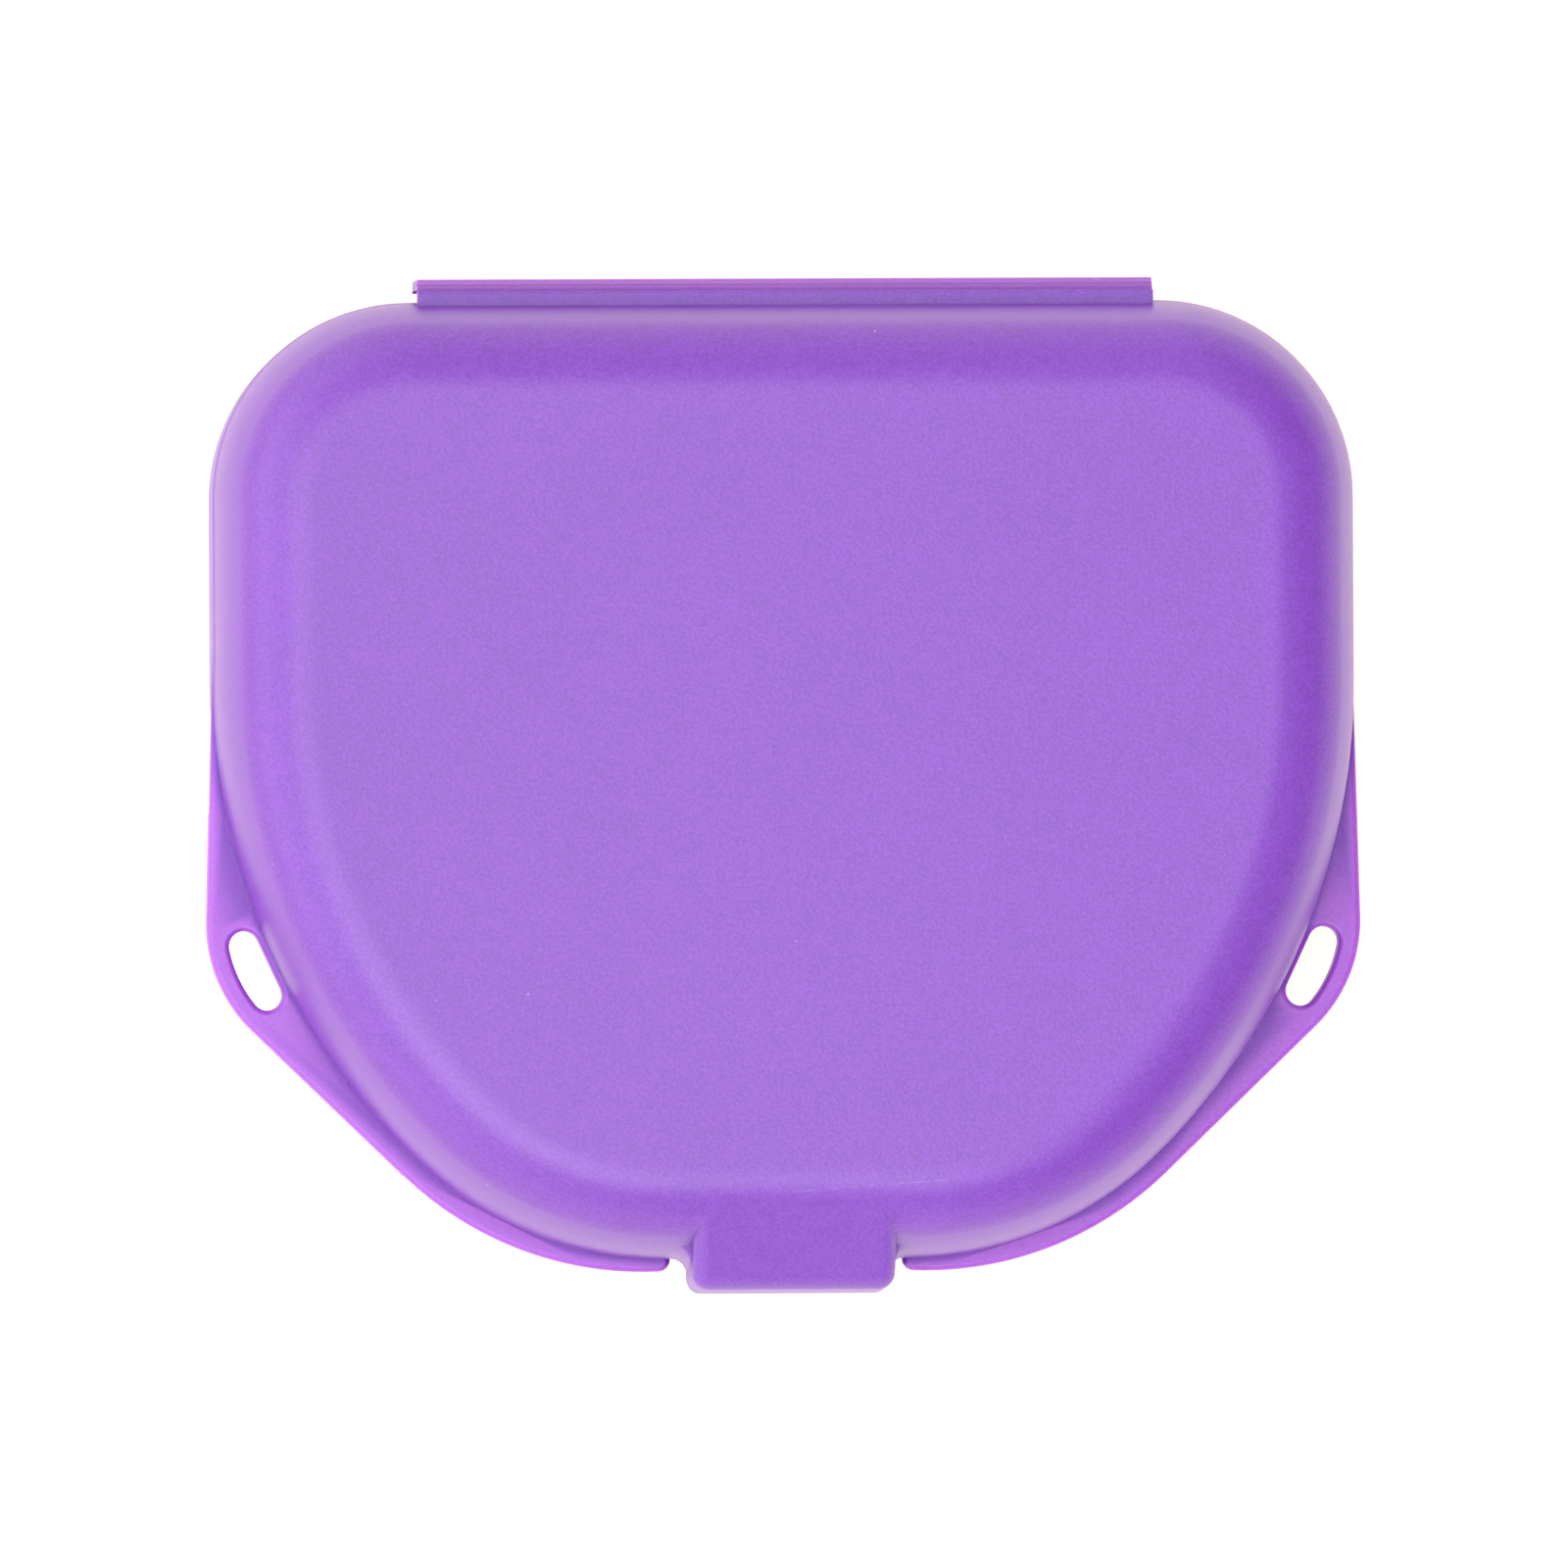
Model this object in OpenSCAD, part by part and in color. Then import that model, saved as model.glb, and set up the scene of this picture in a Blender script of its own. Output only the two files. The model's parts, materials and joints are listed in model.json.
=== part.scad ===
// Orthodontic retainer case: a shallow tray and a domed lid moulded together in polypropylene.
// A strap between two thin webs is the hinge, and a snap tongue at the front holds the lid shut.
// The frame has +Z up and -Y to the front, with its origin under the middle of the case.

/* [Outline] */
// Width of the case across its straight sides
case_w = 81.2; // [78:0.2:90]
// Length of the straight sides
side_l = 13.1; // [8:0.1:24]
// Radius of the two rear corners
rear_r = 14; // [12:0.2:16]
// Radius of the long side curves
side_r = 47; // [44:0.5:52]
// Angle that each side curve turns through
side_turn = 46; // [42:1:50]
// Radius of the two front curves
front_r = 25.3; // [22:0.1:27]

/* [Shells] */
// Height of the tray from its foot to the parting plane
tray_h = 14; // [12:0.5:20]
// Height of the lid from the parting gap to its crown
lid_h = 11.85; // [11:0.05:18]
// Wall thickness of tray and lid
wall = 1.5; // [1.2:0.1:2]
// Lean of a wall, in from its rim to its rounded edge
wall_lean = 0.2; // [0.1:0.05:0.5]
// Radius of the lid's rounded upper edge
lid_edge_r = 6.5; // [5:0.5:8]
// Radius of the tray's rounded lower edge
tray_edge_r = 5.5; // [4:0.5:7]

/* [Parting line] */
// Gap between the tray's rim and the lid's rim
parting_gap = 0.15; // [0.1:0.05:0.3]
// Height of the locating lip on the tray's rim
lip_h = 1.5; // [1:0.1:2]
// Thickness of the locating lip
lip_t = 0.65; // [0.5:0.05:0.8]
// Clearance between the lip and the lid's skirt
lip_gap = 0.15; // [0.1:0.05:0.3]

/* [Flange and ears] */
// Reach of the front flange beyond the wall
flange_w = 1.2; // [0.8:0.05:2]
// Thickness of the flange
flange_t = 1.5; // [1:0.1:2]
// Depth of the flange's top face below the parting plane
flange_drop = 0.6; // [0.4:0.1:1.5]
// Reach of a lanyard ear beyond the straight side of the case
ear_reach = 0.4; // [0.1:0.05:3]
// Thickness of an ear
ear_t = 2.6; // [2:0.1:4]
// Corner radius of an ear
ear_r = 10.5; // [8:0.5:11.5]
// Radius of the flange's ends beside the latch tab
flange_end_r = 0.85; // [0.4:0.05:1]
// Distance from the front land to the flange's rear end
flange_d = 37; // [34:0.5:40]
// Distance from the front land to the rear edge of the thick part of an ear
ear_d = 32; // [28:0.5:33]
// Width of a lanyard slot
slot_w = 2.4; // [2:0.1:2.6]
// Length of a lanyard slot
slot_l = 6; // [5:0.2:8]
// Width of the bar outside a lanyard slot
slot_bar = 1.4; // [1.2:0.1:2]
// Angle of a lanyard slot from the side of the case
slot_turn = 25; // [20:1:28]

/* [Hinge] */
// Distance of each end of the hinge in from the end of the straight rear edge
hinge_set = 0.5; // [0:0.1:6]
// Height between the two hinge ledges
strap_span = 5; // [4:0.2:6]
// Thickness of the hinge strap
strap_t = 0.75; // [0.6:0.05:1.2]
// Reach of the ledges behind the rear wall
ledge_w = 0.8; // [0.6:0.05:1.5]
// Thickness of the ledges
ledge_t = 1.2; // [0.8:0.1:1.6]
// Thickness of the folding webs
web_t = 0.35; // [0.25:0.05:0.5]
// Inner bend radius of a folding web
web_r = 0.15; // [0.1:0.05:0.3]

/* [Latch] */
// Width of the latch tab
tab_w = 14.4; // [12:0.2:16]
// Reach of the latch tab beyond the wall
tab_reach = 2.2; // [2:0.1:3]
// Thickness of the snap tongue
tab_t = 1.25; // [1:0.05:1.4]
// Length of the snap tongue below the lid's rim
tongue_l = 5.6; // [5:0.1:6.5]
// Distance of the snap tongue's sides in from the tab's sides
tongue_set = 0.45; // [0.2:0.05:0.8]
// Slope of the tab's top face
tab_slope = 35; // [30:1:38]
// Radius of the tab's upper front edge
tab_edge_r = 1.2; // [0.8:0.1:1.8]
// Radius of the tab's upright corners
tab_corner_r = 0.8; // [0.5:0.1:1]
// Gap at each end of the flange beside the tab
tab_gap = 1.06; // [0.5:0.02:1.5]
// Clearance of the tongue's rounded top in its groove
flex_gap = 0.08; // [0.05:0.01:0.15]
// Width of the catch rib on the tray
catch_w = 11; // [8:0.5:12]
// Reach of the catch rib from the wall
catch_reach = 0.7; // [0.5:0.05:0.8]
// Height of the catch rib's upright nose
catch_h = 0.5; // [0.4:0.1:0.8]
// Reach of the hook from the tongue
hook_reach = 0.65; // [0.5:0.05:0.7]
// Height of the hook's upright nose
hook_h = 0.4; // [0.3:0.1:0.6]
// Clearance between the hook and the catch rib
hook_gap = 0.2; // [0.1:0.05:0.3]

/* [Hidden] */
$fn = 96;

plastic = [0.66, 0.46, 0.87];
thin_plastic = [0.70, 0.48, 0.86];

// Places of the outline's arcs and straights
half_w = case_w / 2;
hinge_reach = ledge_w + web_r + strap_t;
case_d = front_r + (side_r - front_r) * sin(side_turn) + side_l + rear_r;
front_y = tab_reach - (tab_reach + case_d + hinge_reach) / 2;
rear_y = front_y + case_d;
front_x = (side_r - front_r) * cos(side_turn) - (side_r - half_w);
front_centre = [front_x, front_y + front_r];
side_centre = front_centre + (side_r - front_r) * [-cos(side_turn), sin(side_turn)];
rear_centre = [half_w - rear_r, rear_y - rear_r];

// Heights of the parting line and of the hinge
lid_z = tray_h + parting_gap;
hinge_z = tray_h + parting_gap / 2;
hinge_x = rear_centre.x - hinge_set;
strap_y = rear_y + ledge_w + web_r;

// Overlap of a shell's flat middle with its swept edge
crown_lap = 2;
crown_steps = 4;

// Depth that a rounded corner's arc runs past its tangent points, and size of the coarse steps of a move
arc_bite = 0.03;
coarse_step = 0.001;

// Lip on the tray, and the skirt of the lid outside it
lip_n = wall - lip_t;
skirt_n = lip_n - lip_gap;
rebate_h = lip_h + lip_gap - parting_gap;

// Flange and ears, on the right-hand side
flange_z = tray_h - flange_drop - flange_t;
ear_z = tray_h - flange_drop - ear_t;
flange_lap = 8;
flange_dir = [cos(side_turn), -sin(side_turn)];
flange_joint = front_centre + (front_r + flange_w - arc_bite) * flange_dir;
flange_end = tab_w / 2 + tab_gap;
ear_edge = half_w + ear_reach;
ear_x = ear_edge - ear_r;
ear_y = flange_joint.y + (ear_r + (ear_x - flange_joint.x) * cos(side_turn)) / sin(side_turn);
ear_centre = [ear_x, ear_y];

// Slot between a straight inner side and a bowed outer side about the ear's corner, with round ends
slot_out = ear_r - slot_bar;
slot_in = slot_out - slot_w;
slot_sum = slot_out + slot_in - slot_l / 2;
slot_rest = pow(slot_out, 2) - pow(slot_in, 2) - pow(slot_l / 2, 2);
slot_end_r = sqrt(pow(slot_sum, 2) + slot_rest) - slot_sum;
slot_end = [slot_in + slot_end_r, slot_l / 2 - slot_end_r];

// Latch: the tab leaves the dome just below where its slope would touch it
tab_bite = 0.2;
tab_break = wall_lean + lid_edge_r * (1 - sin(tab_slope)) - tab_bite;

// The tongue turns about the axis of its rounded top
tongue_w = tab_w - 2 * tongue_set;
tongue_n = tab_t - tab_reach;
tongue_axis = [tongue_n - tab_t / 2, lid_z];
tongue_foot = lid_z - tongue_l;
hook_z = tongue_foot + hook_h + hook_reach;
catch_z = hook_z + hook_gap;

// Centre of a shell's edge rounding, as distance in from the outline and height from the rim
function edge_centre(h, r) = [wall_lean + r, h - r];

// Point on a wall's inner face at a height from the rim, for a shell of a given height and edge radius
function inner_face(y, h, r) = [wall + wall_lean * y / (h - r), y];

function arc_points(centre, r, from, to, first = 0) =
    [for (i = [first:crown_steps])
        let (a = from + (to - from) * i / crown_steps)
        centre + r * [cos(a), sin(a)]];

// Right-hand half of the outline, moved in by n
function right_edge(n) = concat(
    arc_points(front_centre, front_r - n, -90, -side_turn),
    arc_points(side_centre, side_r - n, -side_turn, 0, 1),
    arc_points(rear_centre, rear_r - n, 0, 90));

// Points of the right-hand side with their mirror images on the left
function both_sides(points) =
    concat(points, [for (i = [len(points) - 1:-1:0]) [-points[i].x, points[i].y]]);

// Sector of a disc between two directions up to a quarter turn apart
module pie(centre, r, from, to) {
    intersection() {
        translate(centre) circle(r);
        polygon([centre, centre + 2 * r * from, centre + 2 * r * (from + to), centre + 2 * r * to]);
    }
}

// Direction at an angle from +X
function heading(a) = [cos(a), sin(a)];

// Tip of a corner outside an arc, to be cut away, between the arc's two tangent directions
module corner_tip(corner, centre, r, from, to) {
    difference() {
        polygon([centre + r * from, 2 * corner - centre, centre + r * to]);
        translate(centre) circle(r + arc_bite);
    }
}

// Moves in two steps, coarse and then fine, so that swept pieces meet with no rounding between them
module place(to) {
    coarse = [for (c = to) round(c / coarse_step) * coarse_step];
    translate(coarse) translate(to - coarse) children();
}

// A shape and its mirror image across the middle of the case
module each_side() {
    children();
    mirror([1, 0, 0]) children();
}

// Extrudes a section of distance in (or -y) and height along X, centred, from the front land
module along_front(length) {
    translate([-length / 2, front_y, 0])
        rotate([90, 0, 90])
            linear_extrude(length) children();
}

// Extrudes a section of y and height along the whole hinge
module along_hinge() {
    translate([-hinge_x, 0, 0])
        rotate([90, 0, 90])
            linear_extrude(2 * hinge_x) children();
}

// Turns a section of distance in and height through part of a round corner
module round_corner(centre, r, from, to) {
    place(centre)
        rotate_extrude(angle = to - from, start = from)
            translate([r, 0]) mirror([1, 0]) children();
}

// Carries a section of distance in and height along X, from a place past the middle of the case
module to_middle(from) {
    place(from)
        rotate([90, 0, -90])
            linear_extrude(from.x + wall) children();
}

// Carries a section of distance in and height round the right-hand half of the outline
module round_half() {
    to_middle([front_centre.x, front_y]) mirror([1, 0]) children();
    round_corner(front_centre, front_r, -90, -side_turn) children();
    round_corner(side_centre, side_r, -side_turn, 0) children();
    place([half_w, rear_centre.y])
        rotate([90, 0, 0])
            linear_extrude(side_l) mirror([1, 0]) children();
    round_corner(rear_centre, rear_r, 0, 90) children();
    to_middle([rear_centre.x, rear_y]) children();
}

// Carries a section of distance in and height once round the outline
module round_outline() {
    each_side() intersection() {
        round_half() children();
        translate([0, -case_d, -tray_h]) cube([case_w, 2 * case_d, 3 * (tray_h + lid_h)]);
    }
}

// Section of a shell, from the rim at zero height to the flat crown, rim given from outside to inside
module shell_section(h, r, rim) {
    centre = edge_centre(h, r);
    polygon(concat(rim, [centre - [r - wall, 0], centre - [r, 0]]));
    difference() {
        pie(centre, r, [-1, 0], [0, 1]);
        translate(centre) circle(r - wall);
    }
    translate([centre.x, h - wall]) square([crown_lap, wall]);
}

// Flat middle of a shell, with its edge inside the swept plate
module crown_plate(h, r) {
    linear_extrude(wall)
        polygon(both_sides(right_edge(edge_centre(h, r).x + crown_lap / 2)));
}

// Plan of one ear, from the flange's front curve to its rear end, cut away inside the wall
module ear_plan() {
    rear_end = front_y + flange_d;
    corner = ear_centre + ear_r * [1, -tan(side_turn / 2)];
    difference() {
        polygon([
            front_centre + (front_r - wall) * heading(flange_lap - side_turn),
            flange_joint,
            corner,
            [ear_edge, rear_end],
            [half_w - wall / 2, rear_end + ear_reach + wall / 2],
            [half_w - rear_r, rear_end]]);
        corner_tip(corner, ear_centre, ear_r, flange_dir, [1, 0]);
        translate(side_centre) circle(side_r - wall / 2);
    }
}

// Plan of the flange on one side, from the latch gap round to the ear's rear end
module flange_plan() {
    end_x = flange_end + flange_end_r;
    end_dy = sqrt(pow(front_r + flange_w - flange_end_r, 2) - pow(end_x - front_centre.x, 2));
    end_centre = [end_x, front_centre.y - end_dy];
    ear_plan();
    difference() {
        pie(front_centre, front_r + flange_w, heading(-90 - flange_lap), heading(flange_lap - side_turn));
        translate(front_centre) circle(front_r - wall / 2);
        translate([0, front_y - 2 * flange_w]) square([flange_end, front_r]);
        corner_tip(end_centre - flange_end_r * [1, 1], end_centre, flange_end_r, [-1, 0], [0, -1]);
    }
}

// Plan of a lanyard slot
module slot_plan() {
    rear = slot_end;
    front = [rear.x, -rear.y];
    translate(ear_centre) rotate(-slot_turn) {
        for (end = [front, rear])
            translate(end) circle(slot_end_r + arc_bite);
        intersection() {
            circle(slot_out);
            polygon([[slot_in, front.y], front, 2 * front, 2 * rear, rear, [slot_in, rear.y]]);
        }
    }
}

module base_tray() {
    rim = [[0, 0], [lip_n, 0], [lip_n, -lip_h], inner_face(-lip_h, tray_h, tray_edge_r)];
    color(plastic) difference() {
        union() {
            round_outline()
                translate([0, tray_h]) mirror([0, 1]) shell_section(tray_h, tray_edge_r, rim);
            crown_plate(tray_h, tray_edge_r);
            each_side() {
                translate([0, 0, flange_z]) linear_extrude(flange_t) flange_plan();
                translate([0, 0, ear_z]) linear_extrude(ear_t - flange_t) intersection() {
                    ear_plan();
                    translate([0, front_y]) square([case_w, ear_d]);
                }
            }
            along_hinge()
                translate([rear_y - wall / 2, hinge_z - strap_span / 2 - ledge_t])
                    square([wall / 2 + ledge_w, ledge_t]);
            along_front(catch_w)
                polygon([
                    [wall / 2, catch_z],
                    [-catch_reach, catch_z],
                    [-catch_reach, catch_z + catch_h],
                    [wall / 2, catch_z + catch_h + catch_reach + wall / 2]]);
        }
        each_side()
            translate([0, 0, ear_z - ear_t]) linear_extrude(3 * ear_t) slot_plan();
    }
}

// Section of the lid's hinge web, a quarter bend between the strap's end and the ledge's end
module web_section() {
    difference() {
        pie([0, 0], web_r + web_t, [1, 0], [0, 1]);
        circle(web_r);
    }
}

module lid_hinge_web() {
    color(thin_plastic) along_hinge()
        translate([strap_y - web_r, hinge_z + strap_span / 2 - web_r]) web_section();
}

module base_hinge_web() {
    color(thin_plastic) along_hinge()
        translate([strap_y - web_r, hinge_z - strap_span / 2 + web_r])
            mirror([0, 1]) web_section();
}

module hinge_strap() {
    length = strap_span - 2 * web_r;
    color(plastic) along_hinge()
        translate([strap_y, hinge_z - length / 2]) square([strap_t, length]);
}

// Section of the fixed upper part of the latch tab, which grows out of the dome
module tab_section() {
    centre = edge_centre(lid_h, lid_edge_r) + [0, lid_z];
    leave = asin((centre.x - tab_break) / lid_edge_r);
    start = [tab_break, centre.y + lid_edge_r * cos(leave)];
    slope_dir = [-sin(tab_slope), cos(tab_slope)];
    inside = start + tab_bite * [1, tan(tab_slope)];
    edge = [-tab_reach, start.y - (tab_break + tab_reach) * tan(tab_slope)];
    bend = edge + tab_edge_r * [1, -tan(45 - tab_slope / 2)];
    difference() {
        polygon([
            inside,
            edge,
            [-tab_reach, lid_z],
            [skirt_n / 2, lid_z],
            centre - [lid_edge_r - wall / 2, 0],
            centre + (lid_edge_r - wall / 2) * slope_dir]);
        corner_tip(edge, bend, tab_edge_r, slope_dir, [-1, 0]);
    }
}

// Plan of the latch tab or its tongue, with rounded upright corners
module tab_plan(w) {
    corner = [w / 2, front_y - tab_reach];
    centre = corner + tab_corner_r * [-1, 1];
    difference() {
        translate([-corner.x, corner.y]) square([w, tab_reach + lid_edge_r]);
        each_side() corner_tip(corner, centre, tab_corner_r, [0, -1], [1, 0]);
    }
}

module lid_shell() {
    rim = [[0, 0], [skirt_n, 0], [skirt_n, rebate_h], inner_face(rebate_h, lid_h, lid_edge_r)];
    color(plastic) difference() {
        union() {
            round_outline()
                translate([0, lid_z]) shell_section(lid_h, lid_edge_r, rim);
            translate([0, 0, lid_z + lid_h - wall]) crown_plate(lid_h, lid_edge_r);
            along_hinge()
                translate([rear_y - wall / 2, hinge_z + strap_span / 2])
                    square([wall / 2 + ledge_w, ledge_t]);
            intersection() {
                along_front(tab_w) tab_section();
                translate([0, 0, lid_z]) linear_extrude(lid_h) tab_plan(tab_w);
            }
        }
        along_front(2 * tab_w)
            translate(tongue_axis) circle(tab_t / 2 + flex_gap);
    }
}

module latch_tongue() {
    color(plastic) intersection() {
        along_front(tongue_w) {
            polygon([
                [-tab_reach, lid_z],
                [-tab_reach, tongue_foot],
                [tongue_n, tongue_foot],
                [tongue_n + hook_reach, tongue_foot + hook_reach],
                [tongue_n + hook_reach, hook_z],
                [tongue_n, hook_z],
                [tongue_n, lid_z]]);
            intersection() {
                translate(tongue_axis) circle(tab_t / 2);
                translate([-2 * tab_reach, lid_z]) square([2 * tab_reach, tab_t]);
            }
        }
        translate([0, 0, tongue_foot]) linear_extrude(tongue_l + tab_t) tab_plan(tongue_w);
    }
}

base_tray();
base_hinge_web();
hinge_strap();
lid_hinge_web();
lid_shell();
latch_tongue();
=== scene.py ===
"""Looks of a moulded retainer case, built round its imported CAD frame.

The case is one polypropylene moulding: a tray with a front flange and two slotted ears, a domed
lid with a snap tab, and a strap between two folding webs as the hinge. Pieces are modelled in
millimetres, with +Z up and -Y to the front, and are brought to metres when they are finished.
"""

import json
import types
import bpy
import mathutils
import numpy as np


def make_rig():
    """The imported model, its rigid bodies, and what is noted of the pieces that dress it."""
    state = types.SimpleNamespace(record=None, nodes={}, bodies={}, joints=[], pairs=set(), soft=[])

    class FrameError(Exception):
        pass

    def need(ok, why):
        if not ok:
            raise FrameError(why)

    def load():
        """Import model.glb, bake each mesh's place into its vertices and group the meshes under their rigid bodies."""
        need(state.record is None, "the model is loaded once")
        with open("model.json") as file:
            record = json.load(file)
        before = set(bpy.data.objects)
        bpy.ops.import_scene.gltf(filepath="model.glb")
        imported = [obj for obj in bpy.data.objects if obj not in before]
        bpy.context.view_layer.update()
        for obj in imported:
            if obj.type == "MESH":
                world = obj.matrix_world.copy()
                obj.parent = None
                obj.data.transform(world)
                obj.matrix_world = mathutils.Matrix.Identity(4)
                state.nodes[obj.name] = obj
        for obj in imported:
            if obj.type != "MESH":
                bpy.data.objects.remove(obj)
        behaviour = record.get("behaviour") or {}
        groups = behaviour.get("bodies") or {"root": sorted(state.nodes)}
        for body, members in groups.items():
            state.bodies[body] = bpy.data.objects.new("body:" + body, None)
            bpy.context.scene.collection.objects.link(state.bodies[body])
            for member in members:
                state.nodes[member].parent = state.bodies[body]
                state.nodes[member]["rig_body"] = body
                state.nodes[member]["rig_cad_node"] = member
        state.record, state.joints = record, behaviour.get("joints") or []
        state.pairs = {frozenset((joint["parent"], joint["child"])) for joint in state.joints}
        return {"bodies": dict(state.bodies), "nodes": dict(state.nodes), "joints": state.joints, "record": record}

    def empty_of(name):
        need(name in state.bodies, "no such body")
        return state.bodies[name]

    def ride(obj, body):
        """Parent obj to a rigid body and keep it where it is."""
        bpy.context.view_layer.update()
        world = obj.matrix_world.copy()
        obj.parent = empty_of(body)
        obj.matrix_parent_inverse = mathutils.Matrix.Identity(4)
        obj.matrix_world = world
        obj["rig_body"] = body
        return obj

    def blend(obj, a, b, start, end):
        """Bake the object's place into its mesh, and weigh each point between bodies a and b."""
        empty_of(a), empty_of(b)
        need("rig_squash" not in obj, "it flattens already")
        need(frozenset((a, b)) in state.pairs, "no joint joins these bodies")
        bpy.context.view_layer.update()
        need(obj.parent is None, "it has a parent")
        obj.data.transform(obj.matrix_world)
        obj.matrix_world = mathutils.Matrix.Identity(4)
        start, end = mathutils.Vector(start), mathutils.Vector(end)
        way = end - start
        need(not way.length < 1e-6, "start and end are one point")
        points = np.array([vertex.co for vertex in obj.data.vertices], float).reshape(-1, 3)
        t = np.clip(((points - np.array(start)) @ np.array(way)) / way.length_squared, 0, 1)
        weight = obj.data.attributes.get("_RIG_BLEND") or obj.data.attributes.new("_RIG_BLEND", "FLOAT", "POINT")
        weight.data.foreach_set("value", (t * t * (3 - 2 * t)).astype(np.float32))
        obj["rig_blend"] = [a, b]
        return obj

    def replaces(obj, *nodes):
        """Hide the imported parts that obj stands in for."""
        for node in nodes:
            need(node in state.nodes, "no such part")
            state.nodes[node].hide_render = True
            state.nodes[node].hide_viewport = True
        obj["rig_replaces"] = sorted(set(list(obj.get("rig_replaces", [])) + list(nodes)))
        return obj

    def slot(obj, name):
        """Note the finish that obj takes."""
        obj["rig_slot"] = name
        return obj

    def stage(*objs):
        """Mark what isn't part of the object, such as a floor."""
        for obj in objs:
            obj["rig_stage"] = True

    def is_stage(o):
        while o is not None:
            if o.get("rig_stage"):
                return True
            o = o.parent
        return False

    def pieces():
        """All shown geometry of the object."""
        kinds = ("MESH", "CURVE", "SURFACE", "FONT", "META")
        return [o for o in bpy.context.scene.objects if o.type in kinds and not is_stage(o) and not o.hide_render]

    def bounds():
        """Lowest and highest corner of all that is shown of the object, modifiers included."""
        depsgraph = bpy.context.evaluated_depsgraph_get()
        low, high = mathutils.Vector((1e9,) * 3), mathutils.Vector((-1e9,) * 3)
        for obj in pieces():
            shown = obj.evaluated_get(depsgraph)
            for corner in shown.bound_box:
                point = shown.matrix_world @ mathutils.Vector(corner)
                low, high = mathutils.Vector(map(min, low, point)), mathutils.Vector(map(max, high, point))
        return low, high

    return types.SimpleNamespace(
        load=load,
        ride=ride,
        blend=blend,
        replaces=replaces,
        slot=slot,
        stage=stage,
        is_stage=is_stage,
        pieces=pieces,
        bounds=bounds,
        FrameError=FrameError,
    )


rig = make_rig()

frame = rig.load()

import json
import logging
import math
from collections.abc import Callable, Sequence
from dataclasses import dataclass
from enum import Enum
from itertools import pairwise
from typing import Any, Self

import bmesh
import bpy
from mathutils import Matrix, Vector

LOG = logging.getLogger("retainer_case")
SIZE_FILE = "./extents.json"
# The mark on a piece's points that places painted light in its colour: painted shade where it is low and painted glow
# where it is high.
PAINTED_LIGHT_MARK = "thin"
# A millimetre in metres. The lengths below are in millimetres.
MM = 0.001
# Points nearer than this are merged.
MERGE = 0.0005
# Edges shorter than this are dissolved.
SLIVER = 0.0002
# How near a point counts as lying at a place.
NEAR = 0.005
# Least upward or downward part of the normal of a face that counts as level.
FLAT = 0.9
# Angles between two faces that count as about a right angle, in radians.
SQUARE = (1.2, 1.9)
# How far a cutting solid stands out of the solid that it is cut from.
OVERCUT = 0.3

Point2 = tuple[float, float]
Colour = tuple[float, float, float]


class Plane(Enum):
    """The plane that an outline is drawn in."""

    PLAN = "plan"
    SECTION = "section"

    def lift(self, u: float, v: float, w: float) -> tuple[float, float, float]:
        """Gives the place of a drawn point.

        Args:
            u: First coordinate in the plane, x in plan and y in section.
            v: Second coordinate in the plane, y in plan and z in section.
            w: Distance along the plane's normal.

        Returns:
            The point in the row frame, in millimetres.
        """
        return (u, v, w) if self is Plane.PLAN else (w, u, v)


class Join(Enum):
    """The ways to combine two closed solids."""

    UNION = "UNION"
    CUT = "DIFFERENCE"


class Pick(Enum):
    """What is selected in edit mode."""

    FACES = "FACE"
    EDGES = "EDGE"


class Slot(Enum):
    """The record's material slots."""

    CASE = "case_plastic"
    WEB = "web_plastic"


@dataclass(frozen=True)
class Line:
    """A straight stroke of an outline.

    Attributes:
        to: The point where it ends.
    """

    to: Point2

    def make(self, at: Point2, w: float, plane: Plane) -> Point2:
        """Draws the stroke from the selected point.

        Args:
            at: The point where it starts.
            w: The drawing plane's place along its normal; not used.
            plane: The drawing plane.

        Returns:
            The point where it ends.
        """
        step = plane.lift(self.to[0] - at[0], self.to[1] - at[1], 0.0)
        bpy.ops.mesh.extrude_vertices_move(TRANSFORM_OT_translate={"value": step})
        return self.to


@dataclass(frozen=True)
class Arc:
    """A round stroke of an outline.

    Attributes:
        centre: The point that it turns about.
        degrees: How far it turns, anticlockwise where positive.
        steps: Number of edges.
    """

    centre: Point2
    degrees: float
    steps: int

    def make(self, at: Point2, w: float, plane: Plane) -> Point2:
        """Draws the stroke from the selected point.

        Args:
            at: The point where it starts.
            w: The drawing plane's place along its normal.
            plane: The drawing plane.

        Returns:
            The point where it ends.
        """
        turn = math.radians(self.degrees)
        bpy.ops.mesh.spin(
            steps=self.steps,
            angle=-turn,
            center=plane.lift(*self.centre, w),
            axis=plane.lift(0.0, 0.0, 1.0),
        )
        dx, dy = at[0] - self.centre[0], at[1] - self.centre[1]
        cos, sin = math.cos(turn), math.sin(turn)
        return (self.centre[0] + dx * cos - dy * sin, self.centre[1] + dx * sin + dy * cos)


Stroke = Line | Arc


def polar(centre: Point2, r: float, degrees: float) -> Point2:
    """Gives a point on a circle.

    Args:
        centre: The circle's centre.
        r: Its radius.
        degrees: Direction from the centre.

    Returns:
        The point.
    """
    a = math.radians(degrees)
    return (centre[0] + r * math.cos(a), centre[1] + r * math.sin(a))


def heading(centre: Point2, point: Point2) -> float:
    """Gives the direction from a centre to a point, in degrees."""
    return math.degrees(math.atan2(point[1] - centre[1], point[0] - centre[0]))


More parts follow.
